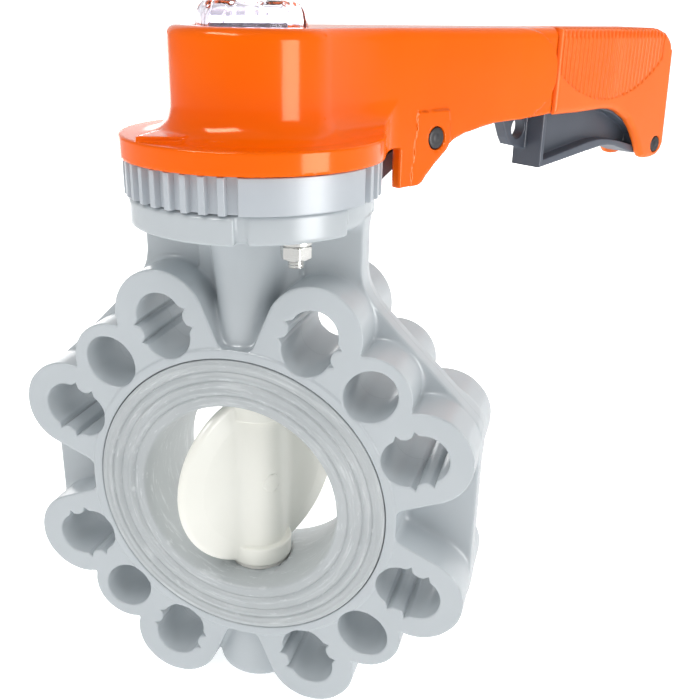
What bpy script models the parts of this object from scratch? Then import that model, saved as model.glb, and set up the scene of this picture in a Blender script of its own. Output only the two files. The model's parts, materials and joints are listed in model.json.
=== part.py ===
"""Lever-operated thermoplastic butterfly valve, DN 80, wafer pattern.

Frame: origin on the pipe axis at mid face-to-face, +Z up the stem to the lever,
Y along the pipe, +X where the lever points when the valve is shut.
The lever and everything that turns with it is drawn in its own frame, X out along
the arm, and is parented to an empty on the stem axis.
"""

import math

import bmesh
import bpy
from mathutils import Matrix, Vector

MM = 0.001

# Driving dimensions, millimetres.
FACE_HALF = 24.5
BODY_HALF = 23.5
LOBE_HALF = 23.0
WEB_HALF = 5.0
OCTAGON = 92.5
COLLAR_R = 64.4
LINER_R = 60.2
LINER_BORE_R = 40.0
LINER_LIP_R = 41.6
TUBE_R = 45.5
SLOT_R1 = 72.5
SLOT_R2 = 80.0
SLOT_WIDTH = 19.0
NOTCH = 1.6
LOBE_R = 18.6
SMALL_HOLE_R = 74.5
SMALL_LOBE_R = 15.8
TOWER_HALF = 44.0
FLANGE_Z0 = 110.0
FLANGE_Z1 = 120.5
FLANGE_R = 44.4
BAND_R = 46.2
STEM_BORE_R = 9.0
DISC_R = 39.6
STEM_R = 7.5
STEM_SQUARE = 10.6
RACK_R = 47.3
RACK_Z0 = 120.8
RACK_Z1 = 133.5
RACK_STEPS = 11
PITCH = 90.0 / RACK_STEPS
GROOVE_DEG = 4.9
GROOVE_DEPTH = 2.4
BOLT_XY = 24.75
REST_DEG = 7 * PITCH
PLATE_R = 48.5
PLATE_Z0 = 133.8
PLATE_Z1 = 141.8
CUP_R = 30.0
TOP_Z = 178.0
PLUG_R = 19.1
LATCH_PIN = (78.0, 135.5)
TRIGGER_PIN = (257.7, 118.0)
SEAM_S = 163.0
GAP = 0.3

MATERIALS = {
    "body_plastic": ((0.50, 0.54, 0.56), 0.42, 0.0),
    "liner_rubber": ((0.42, 0.45, 0.46), 0.62, 0.0),
    "disc_plastic": ((0.86, 0.85, 0.79), 0.40, 0.0),
    "rack_plastic": ((0.47, 0.50, 0.53), 0.45, 0.0),
    "handle_plastic": ((1.00, 0.17, 0.00), 0.18, 0.0),
    "grip_plastic": ((1.00, 0.20, 0.04), 0.45, 0.0),
    "trigger_plastic": ((0.075, 0.09, 0.13), 0.38, 0.0),
    "pin_black": ((0.03, 0.03, 0.035), 0.40, 0.0),
    "clear_plastic": ((0.90, 0.88, 0.95), 0.06, 0.0),
    "indicator_plastic": ((0.12, 0.12, 0.13), 0.45, 0.0),
    "stainless": ((0.62, 0.62, 0.60), 0.28, 1.0),
    "seal_rubber": ((0.02, 0.02, 0.02), 0.70, 0.0),
    "bush_plastic": ((0.80, 0.79, 0.74), 0.45, 0.0),
}


def clear_scene():
    """Empty the start-up scene."""
    for obj in list(bpy.data.objects):
        bpy.data.objects.remove(obj, do_unlink=True)
    for mesh in list(bpy.data.meshes):
        bpy.data.meshes.remove(mesh)


def material(name):
    """The Principled material of that name, made once."""
    found = bpy.data.materials.get(name)
    if found:
        return found
    colour, rough, metal = MATERIALS[name]
    made = bpy.data.materials.new(name)
    made.use_nodes = True
    shader = made.node_tree.nodes["Principled BSDF"]
    shader.inputs["Base Color"].default_value = (*colour, 1.0)
    shader.inputs["Roughness"].default_value = rough
    shader.inputs["Metallic"].default_value = metal
    made.diffuse_color = (*colour, 1.0)
    return made


def collections():
    """One collection for the parts and one for the cutters."""
    found = []
    for name in ("butterfly_valve", "cutters"):
        made = bpy.data.collections.new(name)
        bpy.context.scene.collection.children.link(made)
        found.append(made)
    found[1].hide_render = True
    return found


def add(name, mesh, where):
    """A new object around a mesh, linked to one collection."""
    obj = bpy.data.objects.new(name, mesh)
    where.objects.link(obj)
    return obj


def mesh_of(bm, name):
    """Write a bmesh to a new mesh with outward normals."""
    bmesh.ops.remove_doubles(bm, verts=bm.verts, dist=1e-6)
    bmesh.ops.recalc_face_normals(bm, faces=bm.faces)
    mesh = bpy.data.meshes.new(name)
    bm.to_mesh(mesh)
    bm.free()
    return mesh


def prism(name, loops, low, high, axis="Z"):
    """Flat outlines (first the rim, then holes) pulled from low to high along an axis.

    For axis Z an outline point is (x, y); for axis Y it is (x, z).
    """
    curve = bpy.data.curves.new(name, "CURVE")
    curve.dimensions = "2D"
    curve.fill_mode = "BOTH"
    curve.extrude = (high - low) / 2 * MM
    for loop in loops:
        spline = curve.splines.new("POLY")
        spline.points.add(len(loop) - 1)
        for point, (u, v) in zip(spline.points, loop):
            point.co = (u * MM, v * MM, 0.0, 1.0)
        spline.use_cyclic_u = True
    holder = bpy.data.objects.new(name, curve)
    bpy.context.scene.collection.objects.link(holder)
    bpy.context.view_layer.update()
    graph = bpy.context.evaluated_depsgraph_get()
    raw = bpy.data.meshes.new_from_object(holder.evaluated_get(graph))
    bpy.data.objects.remove(holder)
    bpy.data.curves.remove(curve)
    turn = Matrix.Rotation(math.radians(90), 4, "X") if axis == "Y" else Matrix()
    middle = (low + high) / 2 * MM
    lift = Vector((0, middle, 0)) if axis == "Y" else Vector((0, 0, middle))
    raw.transform(Matrix.Translation(lift) @ turn)
    bm = bmesh.new()
    bm.from_mesh(raw)
    bpy.data.meshes.remove(raw)
    return mesh_of(bm, name)


def turned(name, profile, steps, axis="Z"):
    """Turn a closed (radius, height) outline about an axis, in rings."""
    bm = bmesh.new()
    rings = []
    for radius, height in profile:
        if radius < 1e-6:
            rings.append([bm.verts.new((0, 0, height * MM))])
            continue
        ring = []
        for k in range(steps):
            turn = 2 * math.pi * k / steps
            ring.append(bm.verts.new((radius * MM * math.cos(turn), radius * MM * math.sin(turn), height * MM)))
        rings.append(ring)
    count = len(rings)
    for i in range(count):
        a, b = rings[i], rings[(i + 1) % count]
        if len(a) == 1 and len(b) == 1:
            continue
        for k in range(steps):
            k2 = (k + 1) % steps
            corners = [a[k % len(a)], a[k2 % len(a)], b[k2 % len(b)], b[k % len(b)]]
            bm.faces.new(list(dict.fromkeys(corners)))
    if axis == "Y":
        bm.transform(Matrix.Rotation(math.radians(90), 4, "X"))
    if axis == "X":
        bm.transform(Matrix.Rotation(math.radians(90), 4, "Y"))
    return mesh_of(bm, name)


def rod(name, radius, low, high, steps=24, axis="Z", at=(0.0, 0.0)):
    """A round bar along an axis; at is its centre in the other two axes."""
    mesh = turned(name, [(0, high), (radius, high), (radius, low), (0, low)], steps, axis)
    flip = -1 if axis == "Y" else 1
    shift = {"Z": (at[0], at[1], 0), "Y": (at[0], 0, at[1]), "X": (0, at[0], at[1])}[axis]
    if flip < 0:
        mesh.transform(Matrix.Translation((0, (low + high) * MM, 0)))
    mesh.transform(Matrix.Translation([v * MM for v in shift]))
    return mesh


def box(name, x, y, z):
    """A box from its three spans."""
    loop = [(x[0], y[0]), (x[1], y[0]), (x[1], y[1]), (x[0], y[1])]
    return prism(name, [loop], z[0], z[1])


def loft(name, stations, round_r=3.0, corner=3):
    """Skin upright sections along X: each (s, half width, low z, high z), top edges rounded."""
    bm = bmesh.new()
    rings = []
    for s, half, low, high in stations:
        radius = min(round_r, half * 0.9)
        ring = [(-half, low), (half, low)]
        for k in range(corner + 1):
            turn = math.pi / 2 * k / corner
            ring.append((half - radius + radius * math.cos(turn), high - radius + radius * math.sin(turn)))
        for k in range(corner + 1):
            turn = math.pi / 2 * (1 + k / corner)
            ring.append((-half + radius + radius * math.cos(turn), high - radius + radius * math.sin(turn)))
        rings.append([bm.verts.new((s * MM, w * MM, z * MM)) for w, z in ring])
    for a, b in zip(rings, rings[1:]):
        for k in range(len(a)):
            k2 = (k + 1) % len(a)
            bm.faces.new((a[k], a[k2], b[k2], b[k]))
    bm.faces.new(rings[0])
    bm.faces.new(rings[-1])
    return mesh_of(bm, name)


def cleaned(mesh):
    """Merge the points a Boolean leaves almost on top of each other."""
    bm = bmesh.new()
    bm.from_mesh(mesh)
    bmesh.ops.remove_doubles(bm, verts=bm.verts, dist=4e-6)
    bmesh.ops.dissolve_degenerate(bm, edges=bm.edges, dist=2e-6)
    bm.to_mesh(mesh)
    bm.free()
    return mesh


def combine(obj, mesh, operation, cutters):
    """Apply one exact Boolean with a mesh to an object's own mesh."""
    tool = add(mesh.name, mesh, cutters)
    tool.hide_render = True
    tool.display_type = "WIRE"
    step = obj.modifiers.new(mesh.name, "BOOLEAN")
    step.operation = operation
    step.solver = "EXACT"
    step.object = tool
    bpy.context.view_layer.update()
    graph = bpy.context.evaluated_depsgraph_get()
    result = bpy.data.meshes.new_from_object(obj.evaluated_get(graph))
    obj.modifiers.remove(step)
    bpy.data.objects.remove(tool)
    obj.data = cleaned(result)


def arc(cx, cy, radius, start, end, steps):
    """Points of an arc, degrees."""
    return [
        (
            cx + radius * math.cos(math.radians(start + (end - start) * k / steps)),
            cy + radius * math.sin(math.radians(start + (end - start) * k / steps)),
        )
        for k in range(steps + 1)
    ]


def spun(points, degrees):
    """Rotate outline points about the origin."""
    c, s = math.cos(math.radians(degrees)), math.sin(math.radians(degrees))
    return [(x * c - y * s, x * s + y * c) for x, y in points]


def finish(obj, slot, parent=None):
    """Give the part its material, smooth shading and parent."""
    obj.data.materials.clear()
    obj.data.materials.append(material(slot))
    obj.data.name = obj.name
    for face in obj.data.polygons:
        face.use_smooth = True
    obj.data.set_sharp_from_angle(angle=math.radians(32))
    if parent:
        obj.parent = parent
    return obj


# ---------------------------------------------------------------- valve body
def slot_outline():
    """A radial bolt slot with four small V notches on its long sides."""
    half = SLOT_WIDTH / 2
    outer = arc(SLOT_R2, 0, half, 72, -72, 5)
    inner = arc(SLOT_R1, 0, half, 252, 108, 5)
    right = [(SLOT_R2 + 1.2, -half), (SLOT_R2, -half - NOTCH), (SLOT_R2 - 1.6, -half + 0.2)]
    right += [(SLOT_R1 + 1.6, -half + 0.2), (SLOT_R1, -half - NOTCH), (SLOT_R1 - 1.2, -half)]
    left = [(x, -y) for x, y in reversed(right)]
    return outer + right + inner + left


def lobe_outline(reach, radius, inner=59.0, steps=9):
    """A radial stadium from inside the collar out round a hole."""
    return [(inner, radius)] + arc(reach, 0, radius, 90, -90, steps) + [(inner, -radius)]


def make_body(parts, cutters):
    """The one-piece body: web, collar, twelve bolt lobes, stem tower, flange and foot."""
    side = OCTAGON * math.tan(math.radians(22.5))
    outline = [(OCTAGON, -side), (OCTAGON, side)]
    top = OCTAGON * math.sqrt(2) - TOWER_HALF
    outline += [(TOWER_HALF, top), (TOWER_HALF, FLANGE_Z0 + 4), (-TOWER_HALF, FLANGE_Z0 + 4), (-TOWER_HALF, top)]
    outline += [(-OCTAGON, side), (-OCTAGON, -side), (-side, -OCTAGON), (side, -OCTAGON)]
    body = add("valve_body", prism("web", [outline], -WEB_HALF, WEB_HALF, "Y"), parts)
    collar = turned("collar", [(0, BODY_HALF), (COLLAR_R, BODY_HALF), (COLLAR_R, -BODY_HALF), (0, -BODY_HALF)], 48, "Y")
    combine(body, collar, "UNION", cutters)
    for k in range(8):
        loop = spun(lobe_outline(SLOT_R2, LOBE_R), 22.5 + 45 * k)
        combine(body, prism("lobe", [loop], -LOBE_HALF, LOBE_HALF, "Y"), "UNION", cutters)
    for k in range(4):
        loop = spun(lobe_outline(SMALL_HOLE_R, SMALL_LOBE_R, steps=8), 45 + 90 * k)
        combine(body, prism("small_lobe", [loop], 0.2 - LOBE_HALF, LOBE_HALF - 0.2, "Y"), "UNION", cutters)

    # Stem housing, a tapered bulge on both sides of the tower.
    stations = [(60.0, 8.7, 19.5), (66.0, 8.9, 20.2), (80.0, 11.0, 20.6), (95.0, 13.2, 21.0), (104.0, 14.6, 21.6), (112.0, 16.2, 23.0)]
    bm = bmesh.new()
    rings = []
    for z, half, depth in stations:
        ring = arc(0, 0, 1.0, -70, 70, 6)
        ring = [(half * y / math.sin(math.radians(70)), -depth * (0.55 + 0.45 * (x - 0.342) / 0.658)) for x, y in ring]
        ring += [(-x, -y) for x, y in ring]
        rings.append([bm.verts.new((x * MM, y * MM, z * MM)) for x, y in ring])
    for a, b in zip(rings, rings[1:]):
        for k in range(len(a)):
            k2 = (k + 1) % len(a)
            bm.faces.new((a[k], a[k2], b[k2], b[k]))
    bm.faces.new(rings[0])
    bm.faces.new(rings[-1])
    combine(body, mesh_of(bm, "housing"), "UNION", cutters)

    # Foot below the collar, in line with the stem.
    foot = turned("foot", [(0, -50.0), (18.5, -50.0), (18.5, -90.5), (16.9, -93.0), (0, -93.0)], 28)
    combine(body, foot, "UNION", cutters)

    # Actuator flange, with the two bands that stand a little proud of it.
    flange = turned(
        "flange",
        [(0, FLANGE_Z1), (FLANGE_R, FLANGE_Z1), (FLANGE_R, 114.5), (42.6, 111.2), (39.5, FLANGE_Z0), (0, FLANGE_Z0)],
        48,
    )
    combine(body, flange, "UNION", cutters)
    start = math.degrees(math.acos(41.0 / BAND_R))
    band = arc(0, 0, BAND_R, 180 + start, 283, 12) + arc(0, 0, FLANGE_R + 0.6, 288, 337, 7)
    band += [(30.0, -15.0), (-30.0, -15.0)]
    for turn in (0, 180):
        combine(body, prism("band", [spun(band, turn)], FLANGE_Z0 + 0.35, FLANGE_Z1 - 0.4), "UNION", cutters)

    # Bores.
    bore = TUBE_R + GAP
    seat = LINER_R + GAP
    depth = 20.2
    profile = [(0, 30.0), (seat, 30.0), (seat, depth), (bore, depth), (bore, -depth), (seat, -depth), (seat, -30.0), (0, -30.0)]
    combine(body, turned("seat_bore", profile, 48, "Y"), "DIFFERENCE", cutters)
    for k in range(8):
        loop = spun(slot_outline(), 22.5 + 45 * k)
        combine(body, prism("slot", [loop], -30, 30, "Y"), "DIFFERENCE", cutters)
    for k in range(4):
        hole = [(SMALL_HOLE_R + 11.0 * math.cos(a), 9.75 * math.sin(a)) for a in [2 * math.pi * i / 16 for i in range(16)]]
        combine(body, prism("hole", [spun(hole, 45 + 90 * k)], -30, 30, "Y"), "DIFFERENCE", cutters)
    stem_bore = [(0, 125.0), (11.3, 125.0), (11.3, 88.0), (STEM_BORE_R, 88.0), (STEM_BORE_R, 30.0), (0, 30.0)]
    combine(body, turned("stem_bore", stem_bore, 24), "DIFFERENCE", cutters)
    foot_bore = [(0, -30.0), (STEM_BORE_R, -30.0), (STEM_BORE_R, -72.0), (12.0, -72.0), (12.0, -96.0), (0, -96.0)]
    combine(body, turned("foot_bore", foot_bore, 24), "DIFFERENCE", cutters)
    for side in (1, -1):
        combine(body, rod("bolt_bore", 3.4, 100, 125, 12, at=(side * BOLT_XY, -side * BOLT_XY)), "DIFFERENCE", cutters)
    return finish(body, "body_plastic")


def make_liner(parts, cutters):
    """Rubber seat liner: a tube with a flange on each face and a hole for the stem."""
    half = FACE_HALF
    back = 20.5
    profile = [(LINER_LIP_R, half), (LINER_R, half), (LINER_R, back), (TUBE_R, back), (TUBE_R, -back)]
    profile += [(LINER_R, -back), (LINER_R, -half), (LINER_LIP_R, -half), (LINER_BORE_R, -19.0), (LINER_BORE_R, 19.0)]
    liner = add("seat_liner", turned("liner", profile, 48, "Y"), parts)
    combine(liner, rod("pocket", 13.9, -39.9, 39.9, 24), "DIFFERENCE", cutters)
    combine(liner, rod("top_hole", 8.2, 30, 60, 20), "DIFFERENCE", cutters)
    combine(liner, rod("low_hole", 6.0, -60, -30, 20), "DIFFERENCE", cutters)
    return finish(liner, "liner_rubber")


# ---------------------------------------------------------------- what turns
def make_disc(parts, cutters, lever):
    """The closing disc with its upright hub and the square drive through it."""
    rim = [(0, 5.2), (12.0, 5.2), (30.0, 3.6), (37.5, 2.2), (DISC_R, 1.4), (DISC_R, -1.4), (37.5, -2.2), (30.0, -3.6), (12.0, -5.2), (0, -5.2)]
    disc = add("disc", turned("rim", rim, 40, "Y"), parts)
    hub = turned("hub", [(0, 38.5), (13.2, 38.5), (13.5, 30.5), (10.6, 28.8), (10.6, -28.8), (13.5, -30.5), (13.2, -38.5), (0, -38.5)], 32)
    combine(disc, hub, "UNION", cutters)
    for low, high in ((37.9, 45.0), (-45.0, -37.9)):
        combine(disc, box("hub_flat", (-25.0, 25.0), (-25.0, 25.0), (low, high)), "DIFFERENCE", cutters)
    half = STEM_SQUARE / 2 + GAP
    combine(disc, box("drive", (-half, half), (-half, half), (-33, 50)), "DIFFERENCE", cutters)
    combine(disc, rod("top_bore", STEM_R + 0.4, 34.5, 50, 24), "DIFFERENCE", cutters)
    combine(disc, rod("low_bore", 5.6, -50, -20, 20), "DIFFERENCE", cutters)
    return finish(disc, "disc_plastic", lever)


def make_stem(parts, cutters, lever):
    """Stainless stem: square in the disc and in the lever, round in the body, grooved for seals."""
    groove = 6.4
    profile = [(0, 124.0), (STEM_R, 124.0)]
    for z in (66.0, 56.0):
        profile += [(STEM_R, z + 1.4), (groove, z + 1.4), (groove, z - 1.4), (STEM_R, z - 1.4)]
    profile += [(STEM_R, 36.0), (5.3, 36.0), (5.3, -69.0), (0, -69.0)]
    stem = add("stem", turned("bar", profile, 24), parts)
    half = STEM_SQUARE / 2
    combine(stem, box("disc_square", (-half, half), (-half, half), (-32, 37)), "UNION", cutters)
    combine(stem, box("lever_square", (-half, half), (-half, half), (118, 160)), "UNION", cutters)
    combine(stem, rod("screw_hole", 2.9, 146, 165, 12), "DIFFERENCE", cutters)
    return finish(stem, "stainless", lever)


def make_ring(name, parts, lever, inner, outer, low, high, slot, steps=20):
    """A plain round ring on the stem axis."""
    profile = [(inner, high), (outer, high), (outer, low), (inner, low)]
    return finish(add(name, turned(name, profile, steps), parts), slot, lever)


def make_seal(name, parts, lever, z, centre=7.75, wire=1.05):
    """An O-ring on the stem."""
    profile = [(centre + wire * math.cos(a), z + wire * math.sin(a)) for a in [2 * math.pi * (k + 0.5) / 6 for k in range(6)]]
    return finish(add(name, turned(name, profile, 20), parts), "seal_rubber", lever)


def make_rack(parts, cutters):
    """Indexing ring with two sets of grooves, bolted to the flange."""
    inner = 27.0
    outline = []
    grooves = [(k + 0.5) * PITCH + turn for turn in (0, 180) for k in range(-2, 13)]
    last = None
    for centre in grooves:
        low, high = centre - GROOVE_DEG / 2, centre + GROOVE_DEG / 2
        if last is not None and low - last > 6:
            count = int((low - last) / 6)
            outline += arc(0, 0, RACK_R, last + 5, low - 5, count)
        floor = RACK_R - GROOVE_DEPTH
        outline += [arc(0, 0, RACK_R, low, low, 1)[0], arc(0, 0, floor, low + 0.3, low + 0.3, 1)[0]]
        outline += [arc(0, 0, floor, high - 0.3, high - 0.3, 1)[0], arc(0, 0, RACK_R, high, high, 1)[0]]
        last = high
    first = grooves[0] - GROOVE_DEG / 2 + 360
    outline += arc(0, 0, RACK_R, last + 5, first - 5, 11)
    rack = add("rack_ring", prism("rack", [outline, arc(0, 0, inner, 0, 350, 35)], RACK_Z0, RACK_Z1), parts)
    for side in (1, -1):
        at = (side * BOLT_XY, -side * BOLT_XY)
        combine(rack, rod("bolt_bore", 3.4, 110, 140, 12, at=at), "DIFFERENCE", cutters)
        combine(rack, rod("head_recess", 6.4, 127.0, 140, 16, at=at), "DIFFERENCE", cutters)
    return finish(rack, "rack_plastic")


def make_fasteners(parts):
    """Two hex bolts that hold the rack ring to the flange, each with washer and nut."""
    for word, side in (("front", 1), ("back", -1)):
        at = Vector((side * BOLT_XY * MM, -side * BOLT_XY * MM, 0))
        hexagon = [(5.77 * math.cos(math.radians(60 * k)), 5.77 * math.sin(math.radians(60 * k))) for k in range(6)]
        bolt = add("bolt_" + word, prism("head", [hexagon], 127.3, 131.3), parts)
        combine(bolt, turned("shank", [(0, 129.0), (2.95, 129.0), (2.95, 100.4), (2.3, 99.6), (0, 99.6)], 16), "UNION", bpy.data.collections["cutters"])
        washer = turned("washer", [(3.3, 109.7), (6.0, 109.7), (6.0, 108.3), (3.3, 108.3)], 20)
        nut = prism("nut", [hexagon, arc(0, 0, 3.25, 0, 330, 11)], 103.0, 108.0)
        for obj in (bolt, add("washer_" + word, washer, parts), add("nut_" + word, nut, parts)):
            obj.data.transform(Matrix.Translation(at))
            finish(obj, "stainless")


# ---------------------------------------------------------------- lever
ARM = [
    (8.0, 27.4, 134.2, 177.7),
    (16.0, 25.8, 134.2, 177.7),
    (21.0, 24.3, 134.2, 177.7),
    (27.0, 22.7, 134.2, 177.7),
    (36.0, 20.7, 134.2, 177.7),
    (48.0, 19.0, 134.2, 177.7),
    (57.4, 18.5, 130.0, 177.7),
    (57.5, 18.5, 117.2, 177.7),
    (69.0, 17.7, 117.4, 177.7),
    (73.0, 17.4, 121.2, 177.7),
    (78.6, 17.0, 126.0, 177.7),
    (84.5, 16.6, 130.6, 177.7),
    (91.0, 16.2, 134.0, 177.7),
    (103.7, 15.5, 136.6, 177.7),
    (119.0, 14.7, 138.6, 177.7),
    (146.0, 13.3, 138.8, 177.6),
    (SEAM_S - 0.2, 12.9, 139.6, 177.5),
]


def make_handle(parts, cutters, lever):
    """Lever shell: index plate, cup over the stem head, and the hollow arm."""
    flare = [(CUP_R + 9.5 * (1 - math.cos(math.radians(a))), 151.3 - 9.5 * math.sin(math.radians(a))) for a in (0, 25, 50, 72)]
    profile = [(0, TOP_Z), (27.4, TOP_Z), (29.2, 177.1), (CUP_R, 175.2)] + flare
    profile += [(40.5, PLATE_Z1), (47.9, PLATE_Z1), (PLATE_R, PLATE_Z1 - 0.6), (PLATE_R, PLATE_Z0), (0, PLATE_Z0)]
    handle = add("handle_shell", turned("cup", profile, 48), parts)
    combine(handle, loft("arm", ARM), "UNION", cutters)
    tongue = [(155.0, 10.8, 143.0, 173.4), (178.0, 10.8, 143.0, 173.4)]
    combine(handle, loft("spigot", tongue, 2.0, 2), "UNION", cutters)
    # Bosses round the latch pin, one each side.
    pad = [(68.2, 117.6), (73.4, 121.7), (78.6, 126.4), (84.0, 130.6), (87.5, 132.6), (87.5, 146.5), (67.2, 146.5)]
    combine(handle, prism("pad", [pad], -17.9, 17.9, "Y"), "UNION", cutters)
    # Pointer on the index plate, opposite the arm.
    wedge = [(-48.0, 0.0), (-36.0, -9.0), (-28.0, -9.0), (-28.0, 9.0), (-36.0, 9.0)]
    combine(handle, prism("pointer", [wedge], PLATE_Z1 - 1, PLATE_Z1 + 1.6), "UNION", cutters)

    # Hollow arm, open below.
    hollow = [(36.0, 15.2, 146.5, 172.5), (51.4, 14.3, 146.5, 172.5), (51.5, 14.3, 100.0, 172.5)]
    hollow += [(69.0, 13.2, 100.0, 172.5), (91.0, 11.8, 100.0, 172.5), (146.0, 9.2, 100.0, 172.2), (190.0, 9.2, 100.0, 171.4)]
    combine(handle, loft("hollow", hollow, 2.0, 2), "DIFFERENCE", cutters)
    # Ring-shaped hollow round the hub, open below, and the room for the plug above.
    ring = [(15.5, 168.0), (25.5, 168.0), (25.5, 120.0), (15.5, 120.0)]
    combine(handle, turned("hub_hollow", ring, 24), "DIFFERENCE", cutters)
    combine(handle, rod("plug_room", 20.0, 170.5, 190, 32), "DIFFERENCE", cutters)
    combine(handle, rod("screw_room", 9.6, 161.0, 180, 24), "DIFFERENCE", cutters)
    half = STEM_SQUARE / 2 + GAP
    combine(handle, box("drive", (-half, half), (-half, half), (120, 165)), "DIFFERENCE", cutters)
    combine(handle, rod("pin_bore", 4.7, -30, 30, 20, "Y", LATCH_PIN), "DIFFERENCE", cutters)
    return finish(handle, "handle_plastic", lever)


def make_grip(parts, cutters, lever):
    """Rear grip, a hollow sleeve whose two ears hold the trigger's pin."""
    low = [(SEAM_S + 0.2, 139.8), (209.0, 138.3), (219.0, 136.2), (228.0, 131.2), (234.5, 123.0), (238.0, 115.0), (242.5, 111.6), (250.0, 110.7)]
    low += [(258.0, 110.9), (264.5, 113.6), (266.8, 117.5)]
    outline = low + [(262.6, 167.6), (259.4, 170.8), (254.4, 175.0), (247.5, 177.3), (SEAM_S + 0.2, 177.6)]
    grip = add("grip_shell", prism("grip", [outline], -13.4, 13.4, "Y"), parts)
    bevel = [(SEAM_S, 13.4, 100.0, 178.2), (275.0, 13.4, 100.0, 177.8)]
    combine(grip, loft("top_round", bevel, 3.0, 3), "INTERSECT", cutters)
    room = [(178.6, 9.2, 100.0, 171.4), (240.0, 9.2, 100.0, 171.0), (252.0, 9.2, 100.0, 168.5), (259.6, 9.2, 100.0, 163.0), (264.4, 9.2, 100.0, 128.0)]
    combine(grip, loft("room", room, 2.0, 2), "DIFFERENCE", cutters)
    socket = [(160.0, 11.1, 100.0, 173.8), (178.7, 11.1, 100.0, 173.8)]
    combine(grip, loft("socket", socket, 2.0, 2), "DIFFERENCE", cutters)
    combine(grip, rod("pin_bore", 4.4, -30, 30, 20, "Y", TRIGGER_PIN), "DIFFERENCE", cutters)
    return finish(grip, "grip_plastic", lever)


def make_latch(parts, cutters, lever):
    """Latch lever on the front pin: two teeth at its nose, a tail over the trigger's nose."""
    px, pz = LATCH_PIN
    side = [(49.4, 117.8), (56.0, 117.8), (70.0, 126.5), (78.0, 127.5), (86.0, 131.0), (92.0, 138.5), (104.0, 143.0), (146.0, 143.0)]
    side += [(149.0, 144.6), (149.0, 147.4), (101.0, 147.4), (84.0, 142.6), (78.0, 143.0), (71.0, 139.6), (66.0, 131.8), (54.0, 124.6), (49.4, 124.6)]
    latch = add("latch_lever", prism("latch", [side], -7.6, 7.6, "Y"), parts)
    waist = [(88.0, 100.0), (160.0, 100.0), (160.0, 170.0), (88.0, 170.0)]
    for s in (1, -1):
        combine(latch, prism("waist", [waist], *((4.5, 20.0) if s > 0 else (-20.0, -4.5)), "Y"), "DIFFERENCE", cutters)
    inner, outer = BAND_R + 0.6, 50.2
    for s in (1, -1):
        middle = s * PITCH / 2
        half = GROOVE_DEG / 2 - 0.75
        tooth = arc(0, 0, inner, middle - half, middle + half, 2) + arc(0, 0, outer, middle + half, middle - half, 2)
        combine(latch, prism("tooth", [tooth], 117.8, 120.3), "UNION", cutters)
    combine(latch, rod("pin_bore", 4.7, -30, 30, 20, "Y", (px, pz)), "DIFFERENCE", cutters)
    return latch


def make_trigger(parts, cutters):
    """Trigger: I-section bar with a front block and a padlock eye, hinged at the rear."""
    px, pz = TRIGGER_PIN
    hub = arc(px, pz, 6.2, 60, -130, 8)
    flange_low = [(234.7, 116.6), (226.0, 119.2), (219.9, 120.0), (212.5, 119.9), (197.0, 118.0), (178.9, 115.7), (162.0, 113.7)]
    outline = [(162.0, 142.0), (206.0, 142.0), (222.0, 138.6), (236.0, 131.5), (248.0, 124.6)] + hub + flange_low
    trigger = add("trigger_lever", prism("bar", [outline], -8.6, 8.6, "Y"), parts)
    recess = [(164.6, 117.4), (192.8, 121.9), (208.0, 123.8), (219.9, 123.1), (234.7, 120.3), (243.0, 119.0)]
    recess += [(243.0, 124.4), (234.0, 129.6), (220.0, 136.0), (206.0, 139.2), (164.6, 139.2)]
    combine(trigger, prism("recess", [recess], 2.4, 12.0, "Y"), "DIFFERENCE", cutters)
    combine(trigger, prism("recess", [recess], -12.0, -2.4, "Y"), "DIFFERENCE", cutters)
    eye = [(163.0, 121.7), (150.0, 124.5), (147.4, 128.0), (143.4, 136.0), (142.6, 142.0), (163.0, 142.0)]
    combine(trigger, prism("eye", [eye], 1.0, 7.0, "Y"), "UNION", cutters)
    combine(trigger, rod("eye_hole", 4.8, -30, 30, 20, "Y", (155.4, 132.0)), "DIFFERENCE", cutters)
    combine(trigger, rod("pin_bore", 4.4, -30, 30, 20, "Y", (px, pz)), "DIFFERENCE", cutters)
    return trigger


def coil_spring(name, parts, centre, radius, wire, low, high, turns):
    """A coil along Z as a bevelled path, closed at both ends."""
    curve = bpy.data.curves.new(name, "CURVE")
    curve.dimensions = "3D"
    curve.bevel_depth = wire * MM
    curve.bevel_resolution = 1
    curve.use_fill_caps = True
    steps = 8 * turns
    spline = curve.splines.new("POLY")
    spline.points.add(steps)
    for k, point in enumerate(spline.points):
        turn = 2 * math.pi * turns * k / steps
        z = low + wire + (high - low - 2 * wire) * k / steps
        point.co = ((centre + radius * math.cos(turn)) * MM, radius * math.sin(turn) * MM, z * MM, 1.0)
    return add(name, curve, parts)


def make_plug(parts, cutters, lever):
    """Clear cap over the indicator: scalloped rim and a hollow inside."""
    outline = []
    for k in range(36):
        turn = math.radians(10 * k)
        radius = PLUG_R + 0.25 - (0.7 if k % 3 == 1 else 0.0)
        outline.append((radius * math.cos(turn), radius * math.sin(turn)))
    plug = add("inspection_plug", prism("plug", [outline], 171.0, 190), parts)
    dome = [(0, 186.5), (14.8, 186.3), (17.2, 185.3), (18.6, 183.4), (19.4, 180.4), (19.6, 170.0), (0, 170.0)]
    combine(plug, turned("dome", dome, 30), "INTERSECT", cutters)
    inside = [(0, 184.4), (13.6, 184.4), (16.0, 182.6), (16.9, 180.0), (16.9, 165.0), (0, 165.0)]
    combine(plug, turned("inside", inside, 24), "DIFFERENCE", cutters)
    return finish(plug, "clear_plastic", lever)


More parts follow.
